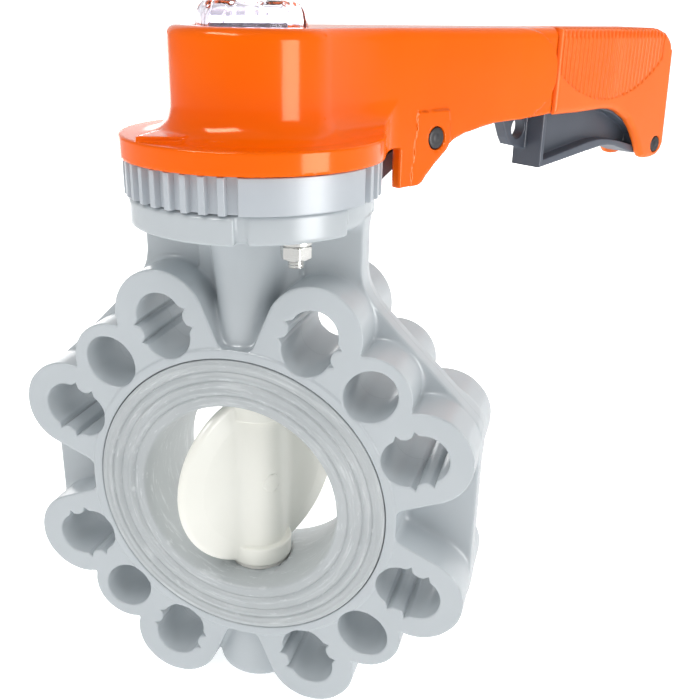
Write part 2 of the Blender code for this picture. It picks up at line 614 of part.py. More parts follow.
def make_indicator(parts, cutters, lever):
    """Dial with a raised bar that lies along the disc, seen through the plug."""
    dial = add("position_indicator", turned("dial", [(0, 173.4), (16.2, 173.4), (16.2, 171.8), (0, 171.8)], 32), parts)
    combine(dial, box("bar", (-15.4, 15.4), (-3.2, 3.2), (172.5, 178.8)), "UNION", cutters)
    combine(dial, rod("screw_room", 6.4, 165, 175.6, 20), "DIFFERENCE", cutters)
    return finish(dial, "indicator_plastic", lever)


def main():
    clear_scene()
    bpy.context.scene.unit_settings.scale_length = 1.0
    parts, cutters = collections()
    make_body(parts, cutters)
    make_liner(parts, cutters)
    make_rack(parts, cutters)
    make_fasteners(parts)
    make_ring("bottom_plug", parts, None, 0.0, 11.7, -92.4, -72.4, "body_plastic")
    make_ring("stem_bush_top", parts, None, 7.8, 11.0, 88.3, 119.0, "bush_plastic")
    make_ring("stem_bush_bottom", parts, None, 5.6, 8.7, -70.0, -48.0, "bush_plastic")

    lever = bpy.data.objects.new("lever_axis", None)
    parts.objects.link(lever)
    make_disc(parts, cutters, lever)
    make_stem(parts, cutters, lever)
    make_seal("o_ring_upper", parts, lever, 66.0)
    make_seal("o_ring_lower", parts, lever, 56.0)
    make_ring("hub_ring_top", parts, lever, 8.2, 12.6, 38.2, 39.6, "bush_plastic")
    make_ring("hub_ring_bottom", parts, lever, 6.0, 12.6, -39.6, -38.2, "bush_plastic")
    make_handle(parts, cutters, lever)
    make_grip(parts, cutters, lever)
    make_plug(parts, cutters, lever)
    make_indicator(parts, cutters, lever)
    make_ring("stem_washer", parts, lever, 3.3, 9.2, 161.3, 163.0, "stainless")
    screw = add("stem_screw", prism("head", [arc(0, 0, 5.8, 0, 300, 5)], 163.3, 168.3), parts)
    combine(screw, rod("shank", 2.6, 150, 165, 12), "UNION", cutters)
    finish(screw, "stainless", lever)

    for builder, pin in ((make_latch, LATCH_PIN), (make_trigger, TRIGGER_PIN)):
        piece = builder(parts, cutters, lever) if builder is make_latch else builder(parts, cutters)
        centre = Vector((pin[0] * MM, 0, pin[1] * MM))
        piece.data.transform(Matrix.Translation(-centre))
        piece.location = centre
        finish(piece, "trigger_plastic", lever)
    for name, pin, radius, half in (("latch_pin", LATCH_PIN, 4.4, 17.5), ("trigger_pin", TRIGGER_PIN, 4.1, 13.0)):
        bar = add(name, rod(name, radius, -half, half, 20, "Y", pin), parts)
        finish(bar, "pin_black", lever)
    spring = coil_spring("latch_spring", parts, 122.0, 3.6, 0.55, 147.8, 171.8, 5)
    spring.data.materials.append(material("stainless"))
    spring.parent = lever
    lever.rotation_euler = (0.0, 0.0, math.radians(REST_DEG))


main()
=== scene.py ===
# %% [markdown]
# # A lever-operated plastic butterfly valve
# The valve is already packed as a fixed frame of twenty-nine solids on four bodies: the
# valve body, the lever with all that turns on the stem, the latch and the trigger.
# This lesson puts the moulded look round that frame. Most parts of the real valve are
# injection mouldings, so every wall meets the next in a small fillet and no rim is knife sharp.

import json
import math

import bpy
import numpy as np
from mathutils import Matrix

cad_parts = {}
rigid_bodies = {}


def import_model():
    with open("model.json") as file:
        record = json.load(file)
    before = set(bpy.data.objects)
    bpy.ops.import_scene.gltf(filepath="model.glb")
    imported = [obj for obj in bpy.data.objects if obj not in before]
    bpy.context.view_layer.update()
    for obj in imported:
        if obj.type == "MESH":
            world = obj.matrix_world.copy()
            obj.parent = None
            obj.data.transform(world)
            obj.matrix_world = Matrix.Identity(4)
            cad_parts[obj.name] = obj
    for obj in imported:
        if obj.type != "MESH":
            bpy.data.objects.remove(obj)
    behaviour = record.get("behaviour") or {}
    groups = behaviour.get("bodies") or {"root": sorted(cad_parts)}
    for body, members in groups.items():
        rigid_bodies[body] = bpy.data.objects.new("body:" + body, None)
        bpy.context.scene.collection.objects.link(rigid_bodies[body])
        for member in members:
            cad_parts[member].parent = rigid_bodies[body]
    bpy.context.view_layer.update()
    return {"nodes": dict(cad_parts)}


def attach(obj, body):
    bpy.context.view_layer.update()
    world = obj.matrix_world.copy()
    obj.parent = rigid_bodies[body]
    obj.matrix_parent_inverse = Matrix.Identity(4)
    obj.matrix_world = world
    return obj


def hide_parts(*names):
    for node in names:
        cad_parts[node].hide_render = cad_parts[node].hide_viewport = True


for start_up in list(bpy.data.objects):
    bpy.data.objects.remove(start_up, do_unlink=True)
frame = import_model()

# %% [markdown]
# All shapes below are worked out in millimetres and turned into metres only when a mesh is
# written. The lever and what turns with it are drawn in the lever's own frame, with X along
# the arm, and then swung round the stem by the angle at which the lever stands.

# %% Units and the lever's angle
MM = 0.001
PITCH = 90.0 / 11
LEVER_TURN = math.radians(7 * PITCH)


def swung(points, turn):
    """Points turned about the stem: x cos - y sin, x sin + y cos, z unchanged."""
    x, y, z = points.T
    c, s = math.cos(turn), math.sin(turn)
    return np.column_stack((x * c - y * s, x * s + y * c, z))


print("lever stands at", round(math.degrees(LEVER_TURN), 2), "degrees")

# %% [markdown]
# A mesh is three flat lists: corner positions, which corners each face uses, and where each
# face starts. Whole arrays go in at once, which is quick even for a hundred thousand faces.
# If the exact slope of the shape is known, it is stored as the shading normal of every
# corner, so that a glossy surface reflects without facets.

# %% From arrays to a piece of the valve
def write_points(mesh, points):
    """Store corner positions that are given in millimetres."""
    mesh.vertices.foreach_set("co", (np.asarray(points) * MM).astype(np.float32).ravel())


def mesh_from(name, points, faces):
    """A mesh from positions in millimetres and equal-sided faces."""
    faces = np.asarray(faces, np.int32)
    mesh = bpy.data.meshes.new(name)
    mesh.vertices.add(len(points))
    write_points(mesh, points)
    mesh.loops.add(faces.size)
    mesh.loops.foreach_set("vertex_index", faces.ravel())
    mesh.polygons.add(len(faces))
    starts = np.arange(0, faces.size, faces.shape[1], dtype=np.int32)
    mesh.polygons.foreach_set("loop_start", starts)
    mesh.update(calc_edges=True)
    mesh.validate()
    mesh.shade_smooth()
    return mesh


def broad_normals(mesh, points, faces):
    """Shade each corner by the faces round it weighted by their area, so that flats look flat."""
    corners = np.asarray(points, float)[faces]
    lean = np.cross(corners[:, 2] - corners[:, 0], corners[:, 3] - corners[:, 1])
    total = np.zeros((len(points), 3))
    for n in range(4):
        for a in range(3):
            total[:, a] += np.bincount(faces[:, n], weights=lean[:, a], minlength=len(points))
    total /= np.linalg.norm(total, axis=1, keepdims=True) + 1e-12
    mesh.normals_split_custom_set_from_vertices(total)
    return mesh


def positions(mesh):
    """Corner positions of a mesh, in millimetres."""
    flat = np.empty(len(mesh.vertices) * 3, np.float32)
    mesh.vertices.foreach_get("co", flat)
    return flat.reshape(-1, 3).astype(float) / MM


def place(name, mesh, material, body, node):
    """Show a mesh as the look of one CAD node, riding on that node's body."""
    mesh.name = name
    mesh.materials.clear()
    mesh.materials.append(material)
    piece = bpy.data.objects.new(name, mesh)
    bpy.context.scene.collection.objects.link(piece)
    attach(piece, body)
    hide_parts(node)
    sides = sum(len(p.vertices) - 2 for p in mesh.polygons)
    print(f"{name}: {sides} triangles")


# %% [markdown]
# A round part is a profile carried round an axis. The grid has one row for each point of the
# profile and one column for each step of the turn; the last column meets the first, and the
# profile closes on itself or ends on the axis.

# %% Turned shapes
def grid_faces(rows, columns, closed_rows=False):
    """Quads between neighbouring rows and columns of a grid whose columns wrap round."""
    i = np.arange(rows if closed_rows else rows - 1)[:, None]
    j = np.arange(columns)[None, :]
    i2, j2 = (i + 1) % rows, (j + 1) % columns
    corners = (i * columns + j, i * columns + j2, i2 * columns + j2, i2 * columns + j)
    return np.stack([np.broadcast_to(c, (i.size, columns)) for c in corners], -1).reshape(-1, 4)


def along(axis, radius, turn, height):
    """Positions of radius, turn and height about one axis, right-handed."""
    u, v = radius * np.cos(turn), radius * np.sin(turn)
    h = np.broadcast_to(height, u.shape)
    order = {"Z": (u, v, h), "Y": (v, h, u), "X": (h, u, v)}[axis]
    return np.stack(order, -1).reshape(-1, 3)


def turned(name, profile, steps=96, axis="Z", shape=None, at=(0, 0, 0)):
    """Turn a closed outline of (radius, height), anticlockwise seen with the axis upwards.

    shape(radius, turn, height) may return a changed radius, for hexagons or scallops.
    """
    profile = np.asarray(profile, float)
    turn = np.linspace(0, 2 * np.pi, steps, endpoint=False)[None, :]
    radius = np.broadcast_to(profile[:, :1], (len(profile), steps))
    height = np.broadcast_to(profile[:, 1:], (len(profile), steps))
    if shape:
        radius = shape(radius, turn, height)
    points = along(axis, radius, turn, height) + np.asarray(at, float)
    faces = grid_faces(len(profile), steps, closed_rows=True)
    return broad_normals(mesh_from(name, points, faces), points, faces)


def softened(outline, radius=0.5, steps=3):
    """Round every corner of a closed outline by an arc drawn between its two sides.

    Each arc is a parabola: (1-t)^2 a + 2t(1-t) corner + t^2 b, with a and b the points at
    one radius from the corner.
    """
    p = np.asarray(outline, float)
    before, after = np.roll(p, 1, 0) - p, np.roll(p, -1, 0) - p
    size_a = np.linalg.norm(before, axis=1, keepdims=True)
    size_b = np.linalg.norm(after, axis=1, keepdims=True)
    a = p + before / size_a * np.minimum(radius, size_a * 0.45)
    b = p + after / size_b * np.minimum(radius, size_b * 0.45)
    t = np.linspace(0, 1, steps + 1)[None, :, None]
    arc = (1 - t) ** 2 * a[:, None] + 2 * t * (1 - t) * p[:, None] + t**2 * b[:, None]
    return arc.reshape(-1, 2)


# %% [markdown]
# A moulding with ribs, lobes and fillets is easier to say than to draw. A distance field is a
# function that is negative inside the plastic and positive outside. The smaller of two fields
# is their union, the larger is their overlap, and a smooth version of either leaves a fillet
# or a rounded rim, as a mould does. It could be built with Booleans and bevels, but bevels
# fail where many edges meet, and this way every meeting gets its fillet.

# %% Words for distance fields
def joined(a, b, fillet):
    """Union with a fillet: min(a, b) - h^2 fillet / 4, h = max(fillet - |a - b|, 0) / fillet."""
    h = np.maximum(fillet - np.abs(a - b), 0) / fillet
    return np.minimum(a, b) - h * h * fillet / 4


def trimmed(a, b, round_over):
    """Overlap with a rounded rim: the union's formula with both signs turned."""
    return -joined(-a, -b, round_over)


def within(value, low, high):
    """Distance outside a slab between two limits."""
    return np.maximum(low - value, value - high)


def stadium(u, v, start, end, radius):
    """Distance to a bar with round ends that lies along u."""
    return np.hypot(u - np.clip(u, start, end), v) - radius


def outline_field(u, v, outline):
    """Signed distance to a closed outline: nearest side, negative where a ray crosses oddly."""
    u, v = np.broadcast_arrays(u, v)
    best = np.full(u.shape, np.inf)
    odd = np.zeros(u.shape, bool)
    for (ax, ay), (bx, by) in zip(outline, np.roll(outline, -1, 0)):
        ex, ey = bx - ax, by - ay
        t = np.clip(((u - ax) * ex + (v - ay) * ey) / (ex * ex + ey * ey), 0, 1)
        best = np.minimum(best, (u - ax - t * ex) ** 2 + (v - ay - t * ey) ** 2)
        if ey:
            odd ^= ((ay > v) != (by > v)) & (u < ex * (v - ay) / ey + ax)
    return np.where(odd, -1.0, 1.0) * np.sqrt(best)


# %% [markdown]
# To make a mesh of a field, space is cut into cells. Wherever an edge between two grid points
# passes through the surface, the four cells round that edge give one quad. Each cell's corner
# is put where the surface planes that pass through it meet best, which keeps rims crisp, and
# is then drawn on to the surface itself. This is called dual contouring.

# %% Skinning a field
def slope(field, points, step=0.04):
    """Gradient by central differences, one axis at a time."""
    found = np.empty_like(points)
    for a in range(3):
        shift = np.zeros(3)
        shift[a] = step
        found[:, a] = (field(*(points + shift).T) - field(*(points - shift).T)) / (2 * step)
    return found


def crossings(value, axes, a):
    """Where grid edges along axis a pass the surface: lower index, position and direction."""
    moved = np.moveaxis(value, a, 0) < 0
    found = np.argwhere(moved[:-1] != moved[1:])
    rest = [n for n in range(3) if n != a]
    index = np.empty_like(found)
    index[:, a], index[:, rest[0]], index[:, rest[1]] = found.T
    upper = index.copy()
    upper[:, a] += 1
    low, high = value[tuple(index.T)], value[tuple(upper.T)]
    spot = np.stack([axes[n][index[:, n]] for n in range(3)], 1)
    spot[:, a] += low / (low - high) * (axes[a][upper[:, a]] - spot[:, a])
    return index, spot, low > 0


def skin(field, xs, ys, zs, pulls=2):
    """Corners and quads of a field's zero surface, by dual contouring."""
    axes = [np.asarray(v, float) for v in (xs, ys, zs)]
    shape = tuple(len(v) for v in axes)
    value = field(axes[0][:, None, None], axes[1][None, :, None], axes[2][None, None, :])
    value = np.ascontiguousarray(np.broadcast_to(value, shape))
    rings, spots = [], []
    for a in range(3):
        b, c = (a + 1) % 3, (a + 2) % 3
        index, spot, inwards = crossings(value, axes, a)
        ring = []
        for db, dc in ((0, 0), (-1, 0), (-1, -1), (0, -1)):
            cell = index.copy()
            cell[:, b] += db
            cell[:, c] += dc
            ring.append((cell[:, 0] * shape[1] + cell[:, 1]) * shape[2] + cell[:, 2])
        ring = np.stack(ring, 1)
        ring[inwards] = ring[inwards][:, ::-1]
        rings.append(ring)
        spots.append(spot)
    spots = np.concatenate(spots)
    cells, quads = np.unique(np.concatenate(rings).ravel(), return_inverse=True)
    quads = quads.reshape(-1)
    lean = slope(field, spots)
    lean /= np.linalg.norm(lean, axis=1, keepdims=True) + 1e-9
    spots, lean = np.repeat(spots, 4, 0), np.repeat(lean, 4, 0)

    def summed(weights):
        return np.bincount(quads, weights=weights, minlength=len(cells))

    count = summed(np.ones(len(quads)))
    middle = np.stack([summed(spots[:, n]) / count for n in range(3)], 1)
    away = ((spots - middle[quads]) * lean).sum(1)
    left = np.empty((len(cells), 3, 3))
    right = np.stack([summed(lean[:, n] * away) for n in range(3)], 1)
    for n in range(3):
        for m in range(3):
            left[:, n, m] = summed(lean[:, n] * lean[:, m])
    left += np.eye(3) * (0.06 * count)[:, None, None]
    move = np.linalg.solve(left, right[:, :, None])[:, :, 0]
    reach = max(np.diff(v).min() for v in axes)
    points = middle + np.clip(move, -reach, reach)
    for _ in range(pulls):
        lean = slope(field, points)
        size = (lean**2).sum(1) + 1e-9
        step = np.clip(field(*points.T) / np.sqrt(size), -0.3, 0.3) / np.sqrt(size)
        points -= lean * step[:, None]
    return points, quads.reshape(-1, 4)


def thinned(mesh, share):
    """A copy with that share of its triangles, kept where the shape bends most."""
    holder = bpy.data.objects.new("holder", mesh)
    bpy.context.scene.collection.objects.link(holder)
    step = holder.modifiers.new("thin", "DECIMATE")
    step.ratio = share
    graph = bpy.context.evaluated_depsgraph_get()
    graph.update()
    result = bpy.data.meshes.new_from_object(holder.evaluated_get(graph))
    bpy.data.objects.remove(holder)
    return result


def moulded(name, field, xs, ys, zs, turn=0.0, most=180000):
    """A field's mesh, thinned to a triangle limit, shaded by the field's own slope."""
    points, quads = skin(field, xs, ys, zs)
    mesh = mesh_from(name, points, quads)
    if 2 * len(quads) > most:
        mesh = thinned(mesh, most / (2 * len(quads)))
    local = positions(mesh)
    normals = slope(field, local)
    normals /= np.linalg.norm(normals, axis=1, keepdims=True) + 1e-9
    write_points(mesh, swung(local, turn))
    mesh.update()
    mesh.shade_smooth()
    mesh.normals_split_custom_set_from_vertices(swung(normals, turn))
    return mesh


def steps_of(low, high, cell):
    """Evenly spaced grid lines that run a little past both ends."""
    return np.arange(low - 1.5 * cell, high + 2.5 * cell, cell)


print("field tools ready")

# %% [markdown]
# Moulded plastic is never one flat colour. It has a very fine grain from the mould, a faint
# cloudiness where the melt flowed, and a thin seam where the two mould halves met. Every
# plastic here needs the same three effects, so each is a node group with its own inputs.
# A group only puts out colours, masks, heights and values; the shader stays in the material.

# %% Building a node group
def new_group(name, inputs, outputs):
    """An empty shader node group with float or colour sockets, and its two end nodes."""
    group = bpy.data.node_groups.new(name, "ShaderNodeTree")
    for direction, sockets in (("INPUT", inputs), ("OUTPUT", outputs)):
        for label, value in sockets:
            kind = "NodeSocketColor" if isinstance(value, tuple) else "NodeSocketFloat"
            socket = group.interface.new_socket(label, in_out=direction, socket_type=kind)
            socket.default_value = value
    return group, group.nodes.new("NodeGroupInput"), group.nodes.new("NodeGroupOutput")


def math_node(tree, operation, first, second=None, third=None):
    """One Math node fed by sockets or plain numbers; returns its output."""
    node = tree.nodes.new("ShaderNodeMath")
    node.operation = operation
    for socket, source in zip(node.inputs, (first, second, third)):
        if isinstance(source, (int, float)):
            socket.default_value = source
        elif source is not None:
            tree.links.new(source, socket)
    return node.outputs[0]


def noise(tree, vector, scale, detail=2.0, rough=0.5):
    """A noise texture at so many cells a metre; returns its value, about 0.5."""
    node = tree.nodes.new("ShaderNodeTexNoise")
    node.inputs["Detail"].default_value = detail
    node.inputs["Roughness"].default_value = rough
    tree.links.new(vector, node.inputs["Vector"])
    if isinstance(scale, (int, float)):
        node.inputs["Scale"].default_value = scale
    else:
        tree.links.new(scale, node.inputs["Scale"])
    return node.outputs["Fac"]


def blend(tree, amount, first, second):
    """Mix two colours, each a socket or four numbers."""
    node = tree.nodes.new("ShaderNodeMix")
    node.data_type = "RGBA"
    for socket, source in ((node.inputs[0], amount), (node.inputs[6], first), (node.inputs[7], second)):
        if isinstance(source, (int, float, tuple)):
            socket.default_value = source
        else:
            tree.links.new(source, socket)
    return node.outputs[2]


def kept_in(tree, value):
    """A value limited to the range from 0 to 1."""
    return math_node(tree, "MINIMUM", math_node(tree, "MAXIMUM", value, 0.0), 1.0)


def object_axes(tree):
    """The three object coordinates, as separate sockets."""
    split = tree.nodes.new("ShaderNodeSeparateXYZ")
    tree.links.new(tree.nodes.new("ShaderNodeTexCoord").outputs["Object"], split.inputs[0])
    return split.outputs


# %% Group: moulded surface
def make_moulded_group():
    """Cloud = slow noise; Grain = fine noise; Height = both, weighted; Dull = roughness."""
    group, source, sink = new_group(
        "moulded surface",
        [("Light colour", (0.8, 0.8, 0.8, 1)), ("Deep colour", (0.6, 0.6, 0.6, 1)),
         ("Cloud scale", 22.0), ("Grain scale", 2600.0), ("Grain depth", 0.3),
         ("Roughness", 0.35), ("Roughness spread", 0.08)],
        [("Colour", (0.8, 0.8, 0.8, 1)), ("Roughness", 0.35), ("Height", 0.0)],
    )
    place_of = group.nodes.new("ShaderNodeTexCoord").outputs["Object"]
    cloud = noise(group, place_of, source.outputs["Cloud scale"], 3.0, 0.55)
    grain = noise(group, place_of, source.outputs["Grain scale"], 1.0)
    clear = kept_in(group, math_node(group, "MULTIPLY_ADD", cloud, 2.2, -0.6))
    colour = blend(group, clear, source.outputs["Deep colour"], source.outputs["Light colour"])
    around = math_node(group, "SUBTRACT", cloud, 0.5)
    swing, middle = source.outputs["Roughness spread"], source.outputs["Roughness"]
    rough = math_node(group, "MULTIPLY_ADD", around, swing, middle)
    height = math_node(group, "MULTIPLY_ADD", grain, source.outputs["Grain depth"], cloud)
    group.links.new(colour, sink.inputs["Colour"])
    group.links.new(rough, sink.inputs["Roughness"])
    group.links.new(height, sink.inputs["Height"])
    return group


# %% Group: parting line
def make_parting_group():
    """Height = a ridge of the stated width where one object axis passes zero."""
    group, source, sink = new_group(
        "parting line",
        [("Axis X", 0.0), ("Axis Y", 1.0), ("Half width", 0.0003), ("Strength", 1.0)],
        [("Height", 0.0)],
    )
    axes = object_axes(group)
    x_part = math_node(group, "MULTIPLY", axes[0], source.outputs["Axis X"])
    offset = math_node(group, "MULTIPLY_ADD", axes[1], source.outputs["Axis Y"], x_part)
    share = math_node(group, "DIVIDE", math_node(group, "ABSOLUTE", offset), source.outputs["Half width"])
    ridge = math_node(group, "MAXIMUM", math_node(group, "SUBTRACT", 1.0, share), 0.0)
    height = math_node(group, "MULTIPLY", ridge, source.outputs["Strength"])
    group.links.new(height, sink.inputs["Height"])
    return group


# %% Group: rubbed rubber
def make_smear_group():
    """Streaks that follow rings about the pipe: noise read at (direction, radius, depth)."""
    group, source, sink = new_group(
        "rubbed rubber",
        [("Around", 2.2), ("Across", 130.0), ("Threshold", 0.55), ("Softness", 0.12)],
        [("Mask", 0.0), ("Height", 0.0)],
    )
    axes = object_axes(group)
    square = math_node(group, "MULTIPLY", axes[0], axes[0])
    square = math_node(group, "MULTIPLY_ADD", axes[2], axes[2], square)
    radius = math_node(group, "SQRT", square)
    join = group.nodes.new("ShaderNodeCombineXYZ")
    for n, axis in ((0, 0), (1, 2)):
        share = math_node(group, "DIVIDE", axes[axis], radius)
        group.links.new(math_node(group, "MULTIPLY", share, source.outputs["Around"]), join.inputs[n])
    depth = math_node(group, "MULTIPLY_ADD", axes[1], 0.8, radius)
    group.links.new(math_node(group, "MULTIPLY", depth, source.outputs["Across"]), join.inputs[2])
    streak = noise(group, join.outputs[0], 1.0, 5.0, 0.62)
    over = math_node(group, "SUBTRACT", streak, source.outputs["Threshold"])
    mask = kept_in(group, math_node(group, "DIVIDE", over, source.outputs["Softness"]))
    group.links.new(mask, sink.inputs["Mask"])
    group.links.new(streak, sink.inputs["Height"])
    return group


MOULDED, PARTING, SMEAR = make_moulded_group(), make_parting_group(), make_smear_group()
print("node groups:", [g.name for g in bpy.data.node_groups])

# %% [markdown]
# Each finish below is one material. The lever is a glossy orange, its grip the same orange
# with a matter skin; the body, the indexing ring and the seat are pale greys; the disc is an
# off-white; the trigger is a blue-black. Numbers that are the same all over a surface sit on
# the shader itself.

# %% Making a material
def shader_of(name, **fixed):
    """A material with its Principled shader's fixed numbers set; returns both."""
    made = bpy.data.materials.new(name)
    made.use_nodes = True
    shader = made.node_tree.nodes["Principled BSDF"]
    for label, value in fixed.items():
        shader.inputs[label.replace("_", " ")].default_value = value
    return made, shader


def group_node(tree, group, **values):
    """Place a group in a material and set its inputs."""
    node = tree.nodes.new("ShaderNodeGroup")
    node.node_tree = group
    for label, value in values.items():
        node.inputs[label.replace("_", " ")].default_value = value
    return node


def bumped(tree, shader, height, distance, strength=1.0):
    """Feed a height to the shader's normal through a Bump node."""
    bump = tree.nodes.new("ShaderNodeBump")
    bump.inputs["Distance"].default_value = distance
    bump.inputs["Strength"].default_value = strength
    tree.links.new(height, bump.inputs["Height"])
    tree.links.new(bump.outputs[0], shader.inputs["Normal"])


def plastic(name, light, deep, rough, spread=0.06, cloud=22.0, grain=2600.0, depth=0.3,
            bump=0.00002, seam=None, **fixed):
    """A moulded plastic: two close colours, grain, and a parting line if seam is given."""
    made, shader = shader_of(name, **fixed)
    tree = made.node_tree
    look = group_node(tree, MOULDED, Light_colour=(*light, 1.0), Deep_colour=(*deep, 1.0),
                      Cloud_scale=cloud, Grain_scale=grain, Grain_depth=depth,
                      Roughness=rough, Roughness_spread=spread)
    tree.links.new(look.outputs["Colour"], shader.inputs["Base Color"])
    tree.links.new(look.outputs["Roughness"], shader.inputs["Roughness"])
    height = look.outputs["Height"]
    if seam:
        line = group_node(tree, PARTING, Axis_X=seam[0], Axis_Y=seam[1], Half_width=seam[2],
                          Strength=seam[3])
        height = math_node(tree, "ADD", height, line.outputs["Height"])
    bumped(tree, shader, height, bump)
    return made


BODY_GREY = plastic("body grey", (0.530, 0.570, 0.595), (0.487, 0.527, 0.552), 0.25, 0.10, 14.0,
                    depth=0.25, bump=0.00003, seam=(0.0, 1.0, 0.00035, 3.0), Specular_IOR_Level=0.42)
RACK_GREY = plastic("ring grey", (0.52, 0.56, 0.60), (0.46, 0.50, 0.54), 0.34, 0.08, 30.0)
DISC_WHITE = plastic("disc off-white", (0.925, 0.925, 0.86), (0.87, 0.87, 0.80), 0.33, 0.08, 18.0,
                     bump=0.00003, Specular_IOR_Level=0.4)
LEVER_ORANGE = plastic("lever orange", (1.0, 0.158, 0.0005), (0.97, 0.130, 0.0), 0.14, 0.05, 9.0, 1500.0,
                       depth=0.04, bump=0.00002, Specular_IOR_Level=0.34,
                       Specular_Tint=(1.0, 0.62, 0.42, 1.0))
GRIP_ORANGE = plastic("grip orange", (1.0, 0.185, 0.018), (0.97, 0.160, 0.012), 0.34, 0.08, 16.0, 1900.0,
                      depth=0.5, bump=0.00004, Specular_IOR_Level=0.4,
                      Specular_Tint=(1.0, 0.70, 0.52, 1.0))
TRIGGER_BLACK = plastic("trigger blue-black", (0.105, 0.124, 0.158), (0.080, 0.096, 0.126), 0.36, 0.12,
                        26.0, 1800.0, depth=0.6, bump=0.00004)
PIN_BLACK = plastic("pin black", (0.032, 0.033, 0.038), (0.02, 0.021, 0.025), 0.42, 0.15, 120.0)
DIAL_BLACK = plastic("dial black", (0.17, 0.17, 0.18), (0.13, 0.13, 0.14), 0.45, 0.10, 90.0)
BUSH_CREAM = plastic("bush cream", (0.80, 0.79, 0.74), (0.74, 0.73, 0.68), 0.42, 0.10, 60.0)
SEAL_BLACK = plastic("seal rubber", (0.025, 0.025, 0.025), (0.015, 0.015, 0.015), 0.65, 0.10, 90.0)


# %% Seat rubber
def seat_rubber():
    """Grey rubber with pale rubbed streaks round its face and in its bore."""
    made, shader = shader_of("seat rubber", Specular_IOR_Level=0.45)
    tree = made.node_tree
    look = group_node(tree, MOULDED, Light_colour=(0.505, 0.535, 0.547, 1.0),
                      Deep_colour=(0.435, 0.467, 0.480, 1.0),
                      Cloud_scale=28.0, Grain_scale=1500.0, Grain_depth=0.8, Roughness=0.46,
                      Roughness_spread=0.25)
    streaks = group_node(tree, SMEAR, Around=2.6, Across=520.0, Threshold=0.55, Softness=0.16)
    blots = group_node(tree, SMEAR, Around=6.0, Across=800.0, Threshold=0.60, Softness=0.09)
    mask = math_node(tree, "MAXIMUM", streaks.outputs["Mask"], blots.outputs["Mask"])
    faint = math_node(tree, "MULTIPLY", mask, 0.5)
    colour = blend(tree, faint, look.outputs["Colour"], (0.74, 0.77, 0.78, 1.0))
    tree.links.new(colour, shader.inputs["Base Color"])
    rough = math_node(tree, "MULTIPLY_ADD", mask, 0.12, look.outputs["Roughness"])
    tree.links.new(rough, shader.inputs["Roughness"])
    height = math_node(tree, "MULTIPLY_ADD", streaks.outputs["Height"], 1.2, look.outputs["Height"])
    bumped(tree, shader, height, 0.00006)
    return made


SEAT_RUBBER = seat_rubber()


# %% Turned stainless steel
def turned_steel():
    """Steel with fine rings left by the lathe: stretched noise drives roughness and bump."""
    made, shader = shader_of("stainless steel", Metallic=1.0)
    tree = made.node_tree
    place_of = tree.nodes.new("ShaderNodeTexCoord").outputs["Object"]
    stretch = tree.nodes.new("ShaderNodeMapping")
    stretch.inputs["Scale"].default_value = (60.0, 60.0, 5200.0)
    tree.links.new(place_of, stretch.inputs[0])
    rings = noise(tree, stretch.outputs[0], 1.0, 3.0, 0.6)
    colour = blend(tree, rings, (0.60, 0.60, 0.58, 1.0), (0.80, 0.80, 0.78, 1.0))
    tree.links.new(colour, shader.inputs["Base Color"])
    rough = math_node(tree, "MULTIPLY_ADD", rings, 0.22, 0.14)
    tree.links.new(rough, shader.inputs["Roughness"])
    bumped(tree, shader, rings, 0.00001)
    return made


STEEL = turned_steel()


# %% Clear plug
def clear_plastic():
    """A tinted clear moulding: plain transmission, roughness that varies a little."""
    made, shader = shader_of("clear plug", Transmission_Weight=1.0, IOR=1.17, Metallic=0.0)
    tree = made.node_tree
    look = group_node(tree, MOULDED, Light_colour=(0.95, 0.93, 0.99, 1.0),
                      Deep_colour=(0.86, 0.82, 0.94, 1.0),
                      Cloud_scale=70.0, Grain_scale=900.0, Grain_depth=0.2, Roughness=0.07,
                      Roughness_spread=0.08)
    tree.links.new(look.outputs["Colour"], shader.inputs["Base Color"])
    tree.links.new(look.outputs["Roughness"], shader.inputs["Roughness"])
    bumped(tree, shader, look.outputs["Height"], 0.00003)
    return made


CLEAR = clear_plastic()
print("materials:", sorted(m.name for m in bpy.data.materials))

# %% [markdown]
# The valve body is one moulding. An octagonal web carries a collar round the bore, eight
# lobes with bolt slots, four smaller lobes with round holes, a foot below and a tower above
# that widens into the flange for the indexing ring. It is written as one distance field, so
# the many walls run into each other in fillets. The eight slots repeat every 45 degrees, so
# the angle is folded and the slot is written once.

# %% Valve body: sizes
FACE, RIM = 23.0, 23.5
WEB_HALF, OCTAGON = 5.0, 92.5
COLLAR_R, BORE_R, SEAT_R = 64.4, 45.8, 60.5
LOBE_R, SMALL_LOBE_R = 18.6, 15.8
SLOT = (72.5, 80.0, 9.5)
HOUSING_Z = [56.0, 66.0, 80.0, 95.0, 104.0, 112.0]
HOUSING_HALF = [8.6, 8.9, 11.0, 13.2, 14.6, 16.2]
HOUSING_DEPTH = [19.4, 20.2, 20.6, 21.0, 21.6, 23.0]
BOLT, BOLT_HOLE_R = 24.75, 3.4
FOOT_R, FOOT_LOW = 18.5, 92.97
STEM_ROOM_R, TOP_BUSH_R, FOOT_BUSH_R = 9.0, 11.3, 12.0


# %% Valve body: the field in plan
def folded(x, z, steps):
    """Radius along and distance across the nearest of so many equal directions."""
    radius, turn = np.hypot(x, z), np.arctan2(z, x)
    sector = 2 * np.pi / steps
    off = np.mod(turn, sector) - sector / 2
    return radius * np.cos(off), radius * np.sin(off)


def slot_field(u, v):
    """A bolt slot: a stadium a little narrow at its waist, with four pointed notches."""
    start, end, half = SLOT
    waist = 0.45 * np.exp(-(((u - (start + end) / 2) / 1.5) ** 2))
    field = stadium(u, v, start, end, half) + waist
    for at in (start, end):
        notch = (np.abs(u - at) * 1.15 + np.abs(np.abs(v) - half) * 0.85 - 1.65) * 0.7
        field = joined(field, notch, 0.5)
    return field


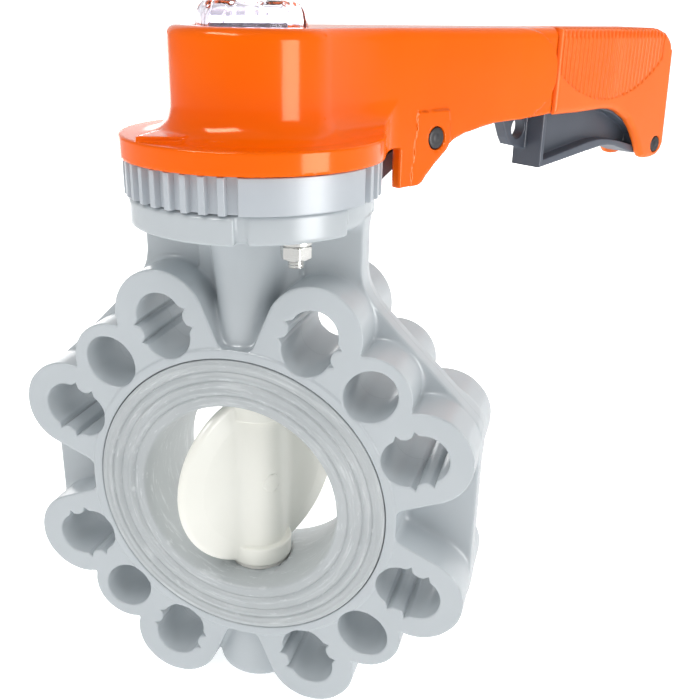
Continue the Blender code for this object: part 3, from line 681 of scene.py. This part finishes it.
def flange_field(x, y, z):
    """Round flange under the ring, rounded below, with bands that stand proud of its rim."""
    out, turn = np.hypot(x, y), np.arctan2(-np.abs(y), np.where(y > 0, -x, x))
    flange = trimmed(trimmed(out - 44.4, 110.0 - z, 7.0), z - 120.5, 0.9)
    for middle, half, radius in ((-114.9, 37.7, 46.2), (-47.5, 24.5, 45.0)):
        across = (np.abs(turn - math.radians(middle)) - math.radians(half)) * out
        band = trimmed(out - radius, within(z, 110.35, 120.1), 1.3)
        flange = joined(flange, trimmed(band, across, 1.0), 0.5)
    return flange


# %% Valve body: the whole field
def body_field(x, y, z):
    """Web, bosses, tower, foot and flange joined with fillets, less the bores."""
    deep = np.abs(y)
    u, v = folded(x, z, 8)
    u4, v4 = folded(x, z, 4)
    radius, out = np.hypot(x, z), np.hypot(x, y)
    lobes = joined(stadium(u, v, 56.0, SLOT[1], LOBE_R), stadium(u4, v4, 56.0, 74.5, SMALL_LOBE_R), 1.6)
    bosses = trimmed(joined(lobes, radius - COLLAR_R, 3.0), deep - FACE, 0.65)
    collar = trimmed(radius - COLLAR_R, deep - RIM, 0.6)

    slant = (np.abs(x) + np.abs(z)) / math.sqrt(2)
    eight = trimmed(np.maximum(np.abs(x), np.abs(z)), slant, 6.0) - OCTAGON
    tower = np.maximum(np.abs(x) - 44.0, within(z, 0.0, 114.0))
    web = trimmed(joined(eight, tower, 7.0) + 0.07 * deep, deep - WEB_HALF, 0.9)
    solid = joined(web, bosses, 2.3)

    shelf = trimmed(np.abs(x) - 20.8, deep - 7.6, 1.2)
    solid = joined(solid, np.maximum(shelf, within(z, 60.0, 113.0)), 1.6)
    half = np.interp(z, HOUSING_Z, HOUSING_HALF) + 0.3
    depth = np.interp(z, HOUSING_Z, HOUSING_DEPTH)
    housing = np.hypot(x, np.maximum(deep - depth + half, 0)) - half
    solid = joined(solid, np.maximum(housing, within(z, 56.0, 114.0)), 3.4)
    foot = trimmed(out - FOOT_R, -92.8 - z, 5.0)
    solid = joined(solid, np.maximum(foot, z + 50.0), 2.5)
    solid = joined(solid, flange_field(x, y, z), 2.0)
    solid = joined(solid, collar, 0.4)

    bore = np.minimum(radius - BORE_R, np.maximum(radius - SEAT_R, 20.2 - deep))
    solid = trimmed(solid, -bore, 0.7)
    solid = trimmed(solid, -slot_field(u, v), 0.7)
    hole = (np.hypot((u4 - 74.5) / 11.0, v4 / 9.75) - 1) * 10.2
    solid = trimmed(solid, -hole, 0.7)
    limit = np.maximum(np.maximum(np.abs(x), np.where(z < 0, -z, 0.0)), slant)
    limit = np.minimum(limit - OCTAGON, np.maximum(np.abs(x) - 52.0, -z))
    solid = trimmed(solid, np.minimum(limit, np.maximum(out - 18.6, z)), 0.5)
    solid = trimmed(solid, -z - FOOT_LOW, 0.3)
    stem = np.minimum(np.maximum(out - STEM_ROOM_R, 30.0 - np.abs(z)), np.maximum(out - TOP_BUSH_R, 88.0 - z))
    stem = np.minimum(stem, np.maximum(out - FOOT_BUSH_R, z + 72.0))
    fold_x, fold_y = np.where(y > 0, -x, x), -np.abs(y)
    bolts = np.maximum(np.hypot(fold_x - BOLT, fold_y + BOLT) - BOLT_HOLE_R, 100.0 - z)
    return trimmed(solid, -np.minimum(stem, bolts), 0.6)


# %% Valve body: the mesh
def mirrored_lines(half):
    """Grid lines on both sides of zero from those on one side."""
    half = np.asarray(half)
    return np.concatenate((-half[::-1], half))


CELL = 0.85
body_lines = mirrored_lines(
    [0.5, 1.7, 2.9, 3.9, 4.6, 5.2, 5.9, 6.8, 7.8, 9.0, 10.6, 12.8, 15.2, 17.6, 19.2, 20.3, 21.1,
     21.7, 22.2, 22.7, 23.25, 23.8, 24.9, 26.4, 28.2, 30.2, 32.3, 34.5, 36.7, 38.9, 41.0, 42.6,
     44.0, 45.2, 46.45, 47.7])
body_mesh = moulded("valve_body", body_field, steps_of(-98.6, 98.6, CELL), body_lines,
                    steps_of(-98.6, 120.5, CELL), most=196000)
place("moulded_body", body_mesh, BODY_GREY, "body", "valve_body")

# %% [markdown]
# The rubber seat is a tube with a broad face on each side. The face has three low beads that
# seal against the pipe flange, with a fine groove beside each. Inside, the bore has two flats
# where the disc's hub turns, so that only its radius changes there.

# %% Seat liner
def bead(radius, centre, half, rise):
    """A low rounded ridge: rise (1 - t^2)^2 with t the distance from its centre over half."""
    t = np.clip(np.abs(radius - centre) / half, 0, 1)
    return rise * (1 - t * t) ** 2


face_r = np.concatenate(([41.9], np.linspace(42.6, 59.4, 58)))
raised = bead(face_r, 53.4, 1.5, 0.72) + bead(face_r, 47.4, 1.4, 0.65) + bead(face_r, 58.3, 1.0, 0.35)
sunk = bead(face_r, 51.5, 0.7, 0.6) + bead(face_r, 45.7, 0.6, 0.5) + bead(face_r, 55.3, 0.6, 0.6)
face_y = 23.75 + raised - sunk
front = np.column_stack((face_r[::-1], face_y[::-1]))
rim_curve = [(59.8, 23.7), (60.1, 23.4), (60.2, 22.8), (60.2, 20.9), (59.9, 20.5), (46.0, 20.5),
             (45.5, 20.0)]
lip_curve = [(41.35, 23.7), (40.9, 23.0), (40.45, 21.6), (40.12, 20.0), (40.0, 18.0), (40.0, 12.0),
             (40.0, 6.0), (40.0, 0.0)]
half_profile = np.array(rim_curve[::-1] + front.tolist() + lip_curve)
seat_profile = np.concatenate((half_profile[:-1], half_profile[::-1] * [1, -1]))


HUB_FLAT, HUB_REACH = 39.9, 13.9


def hub_flats(radius, turn, height):
    """Open the bore to a flat 39.9 mm from the middle where the disc's hub reaches it."""
    upright = np.abs(np.cos(turn))
    aside = HUB_FLAT * np.sqrt(np.clip(1 / np.maximum(upright, 0.5) ** 2 - 1, 0, None))
    near = np.hypot(aside, height) < HUB_REACH
    flat = HUB_FLAT / np.maximum(upright, 0.5)
    return np.where((radius < 45.4) & near, np.maximum(radius, flat), radius)


seat_mesh = turned("seat_liner", seat_profile[::-1], 360, "Y", hub_flats)
place("moulded_seat", seat_mesh, SEAT_RUBBER, "body", "seat_liner")

# %% [markdown]
# The indexing ring has two sets of grooves, eleven steps to a quarter turn. A turned shape
# whose radius drops in each groove gives them all at once.

# %% Indexing ring
RING_R, GROOVE, GROOVE_HALF = 47.3, 2.4, 2.45


def grooved(radius, turn, height):
    """Cut the rim in to the groove floor with walls that lean a little."""
    degrees = np.degrees(turn)
    step = np.floor(np.mod(degrees + 2 * PITCH, 180.0) / PITCH)
    centre = (step + 0.5) * PITCH - 2 * PITCH
    off = np.abs(np.mod(degrees + 2 * PITCH, 180.0) - 2 * PITCH - centre)
    depth = np.where(step < 15, 1.0, 0.0) * np.clip((GROOVE_HALF - off) / 0.32 + 0.5, 0, 1)
    depth = depth * depth * (3 - 2 * depth)
    return np.where(radius > 44.0, radius - GROOVE * depth * np.clip((radius - 44.0) / 2.0, 0, 1), radius)


ring_outline = [(27.0, 120.8), (46.0, 120.8), (RING_R, 120.8), (RING_R, 133.5), (46.0, 133.5), (27.0, 133.5)]
ring_profile = softened(ring_outline, 0.45)
ring_mesh = turned("rack_ring", ring_profile, 1440, "Z", grooved)
place("grooved_ring", ring_mesh, RACK_GREY, "body", "rack_ring")

# %% [markdown]
# The ring is bolted to the flange. A hexagon is a circle cut by flats: the radius is the
# smaller of the circle's and the flat's, a / cos(angle from the middle of the flat). A
# thread is a small ripple in radius that climbs one pitch for each turn.

# %% Bolts, nuts and washers
def hexagonal(radius, turn, height):
    """Limit the radius to a hexagon 10 mm across its flats."""
    off = np.mod(turn, np.pi / 3) - np.pi / 6
    return np.minimum(radius, 5.0 / np.cos(off))


def threaded(radius, turn, height):
    """A ripple 0.3 mm deep and 1 mm apart on the shank below the nut."""
    phase = np.mod(height - turn / (2 * np.pi), 1.0)
    ripple = 0.3 * (1 - np.abs(2 * phase - 1))
    return np.where((height < 109.0) & (radius > 2.5), radius - ripple, radius)


NUT = [(3.25, 103.0), (4.9, 103.0), (5.77, 103.5), (5.77, 107.5), (4.9, 108.0), (3.25, 108.0)]
HEAD = [(0.0, 127.3), (4.9, 127.3), (5.77, 127.7), (5.77, 130.8), (4.9, 131.3), (0.0, 131.3)]
WASHER = softened([(3.3, 108.3), (6.0, 108.3), (6.0, 109.7), (3.3, 109.7)], 0.25)
shank_z = np.arange(99.9, 109.0, 0.125)
SHANK = [(0.0, 99.6), (2.3, 99.6)] + [(2.95, z) for z in shank_z] + [(2.95, 127.3)]
for word, side in (("front", 1), ("back", -1)):
    at = (side * BOLT, -side * BOLT, 0.0)
    bolt = turned("bolt_" + word, SHANK + HEAD[1:], 72, "Z", threaded, at)
    place("threaded_bolt_" + word, bolt, STEEL, "body", "bolt_" + word)
    nut = turned("nut_" + word, softened(NUT, 0.15, 2), 96, "Z", hexagonal, at)
    place("hex_nut_" + word, nut, STEEL, "body", "nut_" + word)
    washer = turned("washer_" + word, WASHER, 64, "Z", None, at)
    place("flat_washer_" + word, washer, STEEL, "body", "washer_" + word)

# %% [markdown]
# The disc is a thin leaf, thickest in the middle, with an upright hub that carries the stem.
# Round collars at both ends of the hub run against the seat. The plastic is soft-edged, and a
# round mark from the mould stands on the hub.

# %% Disc
def disc_field(x, y, z):
    """Leaf, hub and collars joined with fillets, less the stem's bore."""
    radius, out = np.hypot(x, z), np.hypot(x, y)
    thick = np.interp(radius, [0.0, 12.0, 30.0, 37.5, 39.6], [5.2, 5.2, 3.6, 2.2, 1.4])
    leaf = trimmed(radius - 39.6, (np.abs(y) - thick) * 0.98, 1.6)
    hub = np.maximum(out - 10.6, np.abs(z) - 36.0)
    high = np.abs(z)
    collar_r = np.interp(high, [30.5, 38.0], [13.5, 13.2])
    collar = trimmed(out - collar_r, within(high, 29.6, 37.9), 0.8)
    solid = joined(joined(leaf, hub, 5.0), collar, 0.8)
    mark = np.maximum(np.maximum(out - 10.85, np.hypot(x + 1.1, z - 0.5) - 3.9), y)
    solid = joined(solid, mark, 0.15)
    seam = np.maximum(np.hypot(x - 10.3, np.abs(y) - 3.6) - 0.5, np.abs(z) - 29.0)
    solid = joined(solid, seam, 0.3)
    solid = np.maximum(solid, high - 37.9)
    square = np.maximum(np.maximum(np.abs(x), np.abs(y)) - 5.6, -33.0 - z)
    bores = np.minimum(np.maximum(out - 7.9, 34.5 - z), np.maximum(out - 5.6, z + 20.0))
    return trimmed(solid, -np.minimum(square, bores), 0.3)


disc_cell = 0.62
disc_mesh = moulded("disc", disc_field, steps_of(-39.6, 39.6, disc_cell), steps_of(-13.6, 13.6, disc_cell),
                    steps_of(-39.6, 39.6, disc_cell), LEVER_TURN, most=110000)
place("moulded_disc", disc_mesh, DISC_WHITE, "lever", "disc")

# %% [markdown]
# The lever's shell is again one field: a round plate over the ring, a cup over the stem
# head, and the hollow arm with two cheeks that hold the latch. The meeting of cup and plate
# has a wide hollow fillet. The rim of the arm is rounded on top and crisp below.

# %% Lever shell: sizes and outlines
PLATE_R, PLATE_TOP, CUP_R, ARM_TOP = 48.4, 141.8, 30.0, 178.0
LATCH_S, LATCH_Z = 78.0, 135.5
ARM_SIDE = [(-60.0, 134.2), (48.0, 134.2), (57.3, 133.0), (57.5, 117.2), (68.4, 117.3), (70.6, 118.4),
            (73.0, 121.0), (78.6, 125.9), (84.5, 130.4), (91.0, 134.0), (97.0, 135.7), (103.7, 136.7),
            (112.0, 137.9), (119.0, 138.6), (146.0, 138.8), (162.8, 139.6), (162.8, 230.0), (-60.0, 230.0)]
PAD = [(66.9, 146.6), (85.4, 146.4), (87.0, 134.0), (84.5, 130.4), (78.6, 125.9), (73.0, 121.0),
       (70.6, 118.4), (68.4, 117.3), (64.0, 117.2)]
WEDGE = [(-48.0, 0.0), (-36.0, -9.0), (-26.0, -9.0), (-26.0, 9.0), (-36.0, 9.0)]
HOLLOW_S = [36.0, 51.5, 69.0, 91.0, 146.0, 190.0]
HOLLOW_HALF = [15.2, 14.3, 13.2, 11.8, 9.2, 9.2]


# %% Lever shell: the field
def lever_field(x, y, z):
    """Plate, cup, arm, cheeks and pads, less the hollows and bores."""
    deep, rho = np.abs(y), np.hypot(x, y)
    half = 21.5 - 0.0531 * x + 7.6 * np.clip(1 - (x - 9.0) / 44.0, 0, 1) ** 2
    nose = (np.hypot((x - 134.0) / 29.0, (z - 158.0) / 19.7) - 1) * 22.0
    half = half - 1.0 * np.clip(nose / 0.6 + 0.5, 0, 1) * (x > 134.0)
    half = half + 0.016 * np.clip(x - 134.0, 0, 40.0) * np.clip(0.5 - nose / 0.6, 0, 1)
    plan = joined(np.maximum(deep - half, 10.0 - x), rho - CUP_R, 0.3)
    top = trimmed(plan, z - ARM_TOP + 0.0025 * np.maximum(x, 0), 4.5)
    top = trimmed(top, outline_field(x, z, ARM_SIDE), 0.7)
    plate = trimmed(rho - PLATE_R, z - PLATE_TOP, 1.0)
    solid = joined(top, plate, 11.0)
    solid = trimmed(solid, np.where(rho < 50.0, 133.8 - z, -50.0), 0.5)
    pad = trimmed(outline_field(x, z, PAD), deep - 18.35, 0.3)
    solid = joined(solid, pad, 0.25)
    wedge = trimmed(outline_field(x, y, WEDGE), within(z, 138.0, 143.5), 0.4)
    solid = joined(solid, wedge, 0.5)
    spigot = np.maximum(np.maximum(deep - 10.8, within(x, 155.0, 178.0)), within(z, 143.0, 173.4))
    solid = np.minimum(solid, spigot)

    hollow_half = np.interp(x, HOLLOW_S, HOLLOW_HALF)
    roof = np.maximum(z - 172.4, np.maximum(deep - hollow_half, 36.0 - x))
    hollow = np.maximum(roof, np.where(x < 51.5, np.maximum(146.5 - z, -1.0), -1.0))
    ring = np.maximum(np.maximum(15.5 - rho, rho - 25.5), z - 168.0)
    rooms = np.minimum(np.maximum(rho - 20.0, 170.5 - z), np.maximum(rho - 9.6, 161.0 - z))
    drive = np.maximum(deep, np.abs(x)) - 5.6
    pin = np.hypot(x - LATCH_S, z - LATCH_Z) - 4.7
    cut = np.minimum(np.minimum(hollow, ring), np.minimum(rooms, np.minimum(drive, pin)))
    return trimmed(solid, -cut, 0.4)


# %% Lever shell: the mesh
lever_cell = 0.95
lever_mesh = moulded("handle_shell", lever_field, steps_of(-48.6, 178.1, lever_cell),
                     steps_of(-48.6, 48.6, lever_cell), steps_of(117.0, 178.1, lever_cell),
                     LEVER_TURN, most=196000)
place("moulded_lever", lever_mesh, LEVER_ORANGE, "lever", "handle_shell")

# %% [markdown]
# The grip slides over the end of the arm. Its sides carry upright ribs for the fingers,
# bounded below by a shallow arc, and two ears reach down to the trigger's pin.

# %% Grip: outlines
GRIP_SIDE = [(163.2, 138.8), (184.0, 138.8), (204.3, 139.4), (212.0, 138.9), (218.0, 137.4),
             (227.8, 132.8), (234.0, 127.6), (240.0, 120.4), (243.6, 115.0), (246.4, 112.0),
             (250.4, 110.8), (256.5, 110.7), (261.4, 111.7), (265.0, 114.3), (266.7, 118.0),
             (263.3, 166.9), (261.9, 167.6), (261.0, 170.0), (258.4, 172.6), (254.4, 175.2), (249.0, 177.0),
             (244.0, 177.5), (163.2, 177.6)]
ROOM = [(178.6, 100.0), (178.6, 171.4), (240.0, 171.0), (252.0, 168.5), (259.6, 163.0),
        (263.4, 128.0), (263.4, 100.0)]
RIB_PITCH, RIB_DEPTH = 3.23, 0.8
PIN_S, PIN_Z = 257.7, 118.0


# %% Grip: the field
def grip_field(x, y, z):
    """A rounded slab with ribs let in to its sides and a room for the trigger inside."""
    deep = np.abs(y)
    arch = np.hypot(x - 206.0, z - 214.0) - 70.0
    wave = np.clip(0.42 - 0.85 * np.cos(2 * np.pi * (x - 163.6) / RIB_PITCH), 0, 1)
    inside = np.clip(-arch / 0.5, 0, 1) * np.clip((x - 165.0) / 0.5, 0, 1) * np.clip((253.6 - x) / 0.5, 0, 1)
    sunk = inside * (0.15 + RIB_DEPTH * wave)
    outline = outline_field(x, z, GRIP_SIDE)
    solid = trimmed(outline, deep - 13.4 + sunk, 3.2)
    solid = solid + np.clip(z - 173.0, 0, 1) * sunk * 0.6
    ear = np.maximum(within(x, 245.2 + (z - 115.1) * 0.077, 262.6), within(z, 114.5, 129.8))
    ear = trimmed(np.maximum(ear, outline + 1.1), deep - 13.65, 0.25)
    room = np.maximum(outline_field(x, z, ROOM), deep - 9.2)
    socket = np.maximum(np.maximum(deep - 11.1, x - 178.7), z - 173.8)
    pin = np.hypot(x - PIN_S, z - PIN_Z) - 4.4
    cut = np.minimum(np.minimum(room, socket), pin)
    return trimmed(solid, -cut, 0.4)


# %% Grip: the mesh
grip_x = steps_of(163.2, 266.8, 0.54)
grip_mesh = moulded("grip_shell", grip_field, grip_x, steps_of(-13.6, 13.6, 0.9),
                    steps_of(110.7, 177.6, 0.95), LEVER_TURN, most=150000)
place("ribbed_grip", grip_mesh, GRIP_ORANGE, "lever", "grip_shell")

# %% [markdown]
# The trigger is an I-shaped bar: a flange above and below with a web between, a solid block
# at the front, an eye for a padlock, and a hub at the rear for its pin.

# %% Trigger: outlines
hub_turns = np.radians(np.linspace(60, -130, 16))
HUB = np.column_stack((PIN_S + 6.2 * np.cos(hub_turns), PIN_Z + 6.2 * np.sin(hub_turns)))
BAR = np.concatenate(([(162.0, 142.0), (206.0, 142.0), (222.0, 138.6), (236.0, 131.5), (248.0, 124.6)], HUB,
                      [(244.0, 113.9), (234.7, 116.6), (226.0, 119.0), (219.9, 119.9), (212.5, 119.9),
                       (204.0, 118.9), (197.0, 118.0), (178.9, 115.7), (162.0, 113.7)]))
RECESS = [(164.6, 117.4), (178.9, 119.6), (192.8, 121.7), (201.0, 123.0), (208.0, 123.6), (214.0, 123.5),
          (219.9, 122.9), (227.0, 121.8), (234.7, 120.1), (243.0, 118.0), (243.0, 124.4), (234.0, 129.6),
          (220.0, 136.0), (206.0, 139.2), (164.6, 139.2)]
EYE = [(163.0, 121.7), (150.0, 124.5), (147.4, 128.0), (143.4, 136.0), (142.6, 142.0), (163.0, 142.0)]


# %% Trigger: the field and the mesh
def trigger_field(x, y, z):
    """Bar with sunk sides, plus the eye, less the holes."""
    deep = np.abs(y)
    bar = trimmed(outline_field(x, z, BAR), deep - 8.6, 0.9)
    recess = trimmed(outline_field(x, z, RECESS), 2.4 - deep, 0.8)
    bar = trimmed(bar, -recess, 0.5)
    eye = trimmed(outline_field(x, z, EYE), within(y, 1.0, 7.0), 0.7)
    solid = joined(bar, eye, 0.5)
    holes = np.minimum(np.hypot(x - 155.4, z - 132.0) - 4.8, np.hypot(x - PIN_S, z - PIN_Z) - 4.4)
    return trimmed(solid, -holes, 0.6)


trigger_cell = 0.6
trigger_mesh = moulded("trigger_lever", trigger_field, steps_of(142.6, 264.0, trigger_cell),
                       steps_of(-8.7, 8.7, trigger_cell), steps_of(111.0, 142.1, trigger_cell),
                       LEVER_TURN, most=90000)
place("moulded_trigger", trigger_mesh, TRIGGER_BLACK, "trigger", "trigger_lever")

# %% [markdown]
# Two dark pins hold the latch and the trigger. Each is turned along the lever's Y axis, with
# a softened end. The clear plug over the stem head is turned too, with twelve finger
# scallops and a hollow inside.

# %% Pins
AXLES = [("latch_axle", "latch_pin", (LATCH_S, LATCH_Z), 4.4, 18.4),
         ("trigger_axle", "trigger_pin", (PIN_S, PIN_Z), 4.1, 13.4)]
for name, node, spot, radius, half in AXLES:
    bar = [(0.0, -half - 0.1), (1.5, -half - 0.1), (1.9, -half + 0.15), (2.3, -half), (radius - 0.5, -half),
           (radius, -half + 0.5), (radius, half - 0.5), (radius - 0.5, half), (2.3, half), (1.9, half - 0.15),
           (1.5, half + 0.1), (0.0, half + 0.1)]
    pin_mesh = turned(name, bar, 64, "Y", None, (spot[0], 0.0, spot[1]))
    write_points(pin_mesh, swung(positions(pin_mesh), LEVER_TURN))
    pin_mesh.update()
    place(name, pin_mesh, PIN_BLACK, "lever", node)


# %% Clear plug
def scalloped(radius, turn, height):
    """Twelve hollows round the skirt, fading out over the crown."""
    dip = np.clip(np.cos(12 * turn) * 3.0 - 1.9, 0, 1)
    share = np.clip((radius - 15.5) / 2.5, 0, 1) * np.clip((height - 171.0) / 0.5, 0, 1)
    return np.where(radius > 17.0, radius - 0.9 * dip * share, radius)


crown = [(19.1, 171.0), (19.6, 171.3), (19.65, 174.0), (19.6, 177.0), (19.4, 180.0), (19.0, 182.4),
         (18.2, 184.3), (16.9, 185.6), (15.2, 186.25), (12.0, 186.42), (6.0, 186.5), (0.0, 186.5)]
cave = [(0.0, 184.4), (6.0, 184.4), (12.6, 184.4), (14.6, 183.8), (15.9, 182.6), (16.6, 181.0), (16.9, 178.5),
        (16.9, 172.0), (16.9, 171.0)]
plug_mesh = turned("inspection_plug", crown + cave, 288, "Z", scalloped)
place("clear_plug", plug_mesh, CLEAR, "lever", "inspection_plug")

# %% [markdown]
# The parts that stay as they are in the frame only need their finish: the latch, the
# indicator, the stem with its screw and washer, the bushes, rings and seals, the lower plug
# and the coil spring.

# %% Finish the frame's own nodes
PLAIN = {
    "latch_lever": TRIGGER_BLACK, "position_indicator": DIAL_BLACK, "stem": STEEL, "stem_screw": STEEL,
    "stem_washer": STEEL, "latch_spring": STEEL, "stem_bush_top": BUSH_CREAM,
    "stem_bush_bottom": BUSH_CREAM, "hub_ring_top": BUSH_CREAM, "hub_ring_bottom": BUSH_CREAM,
    "o_ring_upper": SEAL_BLACK, "o_ring_lower": SEAL_BLACK, "bottom_plug": BODY_GREY,
}
for node, finish in PLAIN.items():
    for place_in_slot in frame["nodes"][node].material_slots:
        place_in_slot.material = finish
print("kept from the frame:", len(PLAIN))

# %% [markdown]
# The valve stands on a pale floor that curves up behind it. Three strips are seen only as
# reflections: a tall one on the right draws the upright highlight on the glossy cup, one
# behind on the left picks out the far edge, and one overhead catches the plate and the rims.
# Four broad softboxes are left out of reflections and light the rest evenly.

# %% Floor and backdrop
def sweep_mesh(low, width, depth, height, bend):
    """A floor that runs back and curves up in to a wall: straight, quarter circle, straight."""
    turn = np.linspace(-np.pi / 2, 0, 24)
    run = np.concatenate(([-depth], depth - bend + bend * np.cos(turn), [depth]))
    rise = np.concatenate(([0.0], bend + bend * np.sin(turn), [height]))
    left = np.column_stack((np.full(run.size, -width), run, rise + low))
    right = left * [-1, 1, 1]
    points = np.concatenate((left, right))
    i = np.arange(run.size - 1)
    faces = np.stack((i, i + run.size, i + run.size + 1, i + 1), 1)
    return mesh_from("backdrop", points, faces)


floor_finish, floor_shader = shader_of("studio paper", Emission_Strength=0.6)
paper_tree = floor_finish.node_tree
paper = group_node(paper_tree, MOULDED, Light_colour=(0.96, 0.96, 0.96, 1.0),
                   Deep_colour=(0.94, 0.94, 0.94, 1.0), Cloud_scale=1.5, Grain_scale=400.0,
                   Roughness=0.9, Roughness_spread=0.05)
ray = paper_tree.nodes.new("ShaderNodeLightPath")
seen = math_node(paper_tree, "MULTIPLY", ray.outputs["Is Glossy Ray"], 0.35)
tone = blend(paper_tree, seen, paper.outputs["Colour"], (0.0, 0.0, 0.0, 1.0))
paper_tree.links.new(tone, floor_shader.inputs["Base Color"])
paper_tree.links.new(tone, floor_shader.inputs["Emission Color"])
paper_tree.links.new(paper.outputs["Roughness"], floor_shader.inputs["Roughness"])
backdrop = bpy.data.objects.new("backdrop", sweep_mesh(-93.2, 4000.0, 2600.0, 3200.0, 900.0))
backdrop.data.materials.append(floor_finish)
bpy.context.scene.collection.objects.link(backdrop)


# %% Lights
def direction(azimuth, elevation):
    """Unit vector: azimuth in degrees from straight in front towards the right."""
    a, e = math.radians(azimuth), math.radians(elevation)
    return np.array([math.sin(a) * math.cos(e), -math.cos(a) * math.cos(e), math.sin(e)])


def facing(away):
    """Right, up and back axes of something whose own -Z looks against that direction."""
    back = away / np.linalg.norm(away)
    right = np.cross([0.0, 0.0, 1.0], back)
    right /= np.linalg.norm(right)
    up = np.cross(back, right)
    return right, up, back


def stood(right, up, back, spot):
    """The matrix whose columns are those three axes and that place."""
    return Matrix([[right[n], up[n], back[n], spot[n]] for n in range(3)] + [[0, 0, 0, 1]])


def softbox(name, azimuth, elevation, distance, width, height, power, mirrored=True, spreads=True,
            aim=(0.0, 0.0, 0.05)):
    """A rectangular area light. It may be kept out of reflections, or seen in nothing else."""
    light = bpy.data.lights.new(name, "AREA")
    light.shape, light.size, light.size_y, light.energy = "RECTANGLE", width, height, power
    lamp = bpy.data.objects.new(name, light)
    bpy.context.scene.collection.objects.link(lamp)
    away = direction(azimuth, elevation)
    lamp.matrix_world = stood(*facing(away), np.array(aim) + away * distance)
    lamp.visible_camera = False
    lamp.visible_glossy = mirrored
    lamp.visible_diffuse = spreads


softbox("tall strip", 71.0, -5.0, 0.46, 0.19, 0.30, 2.3, spreads=False, aim=(0.0, 0.0, 0.165))
softbox("rear left strip", -142.0, -6.0, 0.55, 0.36, 0.28, 0.7, spreads=False, aim=(0.0, 0.0, 0.12))
softbox("overhead strip", -30.0, 52.0, 1.5, 1.0, 0.36, 24.0, spreads=False)
softbox("soft top", -10.0, 66.0, 1.8, 1.4, 1.2, 13.0, mirrored=False)
softbox("soft right", 84.0, 14.0, 1.8, 1.6, 1.4, 11.5, mirrored=False)
softbox("soft left", -48.0, 2.0, 1.6, 1.8, 1.0, 6.0, mirrored=False)
softbox("soft rear", 172.0, 6.0, 1.6, 1.8, 1.4, 22.0, mirrored=False)
world = bpy.data.worlds.new("studio")
world.use_nodes = True
world.node_tree.nodes["Background"].inputs["Color"].default_value = (1.0, 1.0, 1.0, 1.0)
ray = world.node_tree.nodes.new("ShaderNodeLightPath")
level = math_node(world.node_tree, "MULTIPLY_ADD", ray.outputs["Is Glossy Ray"], 0.03, 0.31)
level = math_node(world.node_tree, "MULTIPLY_ADD", ray.outputs["Is Transmission Ray"], 0.8, level)
world.node_tree.links.new(level, world.node_tree.nodes["Background"].inputs["Strength"])
bpy.context.scene.world = world
bpy.context.scene.view_settings.view_transform = "Standard"
print("lights:", sorted(light.name for light in bpy.data.lights))

# %% [markdown]
# The camera looks slightly down on the valve from the front right, with a very slight roll.

# %% Camera
AZIMUTH, ELEVATION, ROLL = 15.246, 21.552, math.radians(1.431)
level, upright, back = facing(direction(AZIMUTH, ELEVATION))
right = level * math.cos(ROLL) + upright * math.sin(ROLL)
up = upright * math.cos(ROLL) - level * math.sin(ROLL)
spot = (0.12224, -0.30780, 0.18698)
lens = bpy.data.cameras.new("camera")
lens.lens, lens.sensor_width, lens.clip_start = 45.53, 36.0, 0.01
camera = bpy.data.objects.new("camera", lens)
bpy.context.scene.collection.objects.link(camera)
camera.matrix_world = stood(right, up, back, spot)
bpy.context.scene.camera = camera
print("camera at", spot)
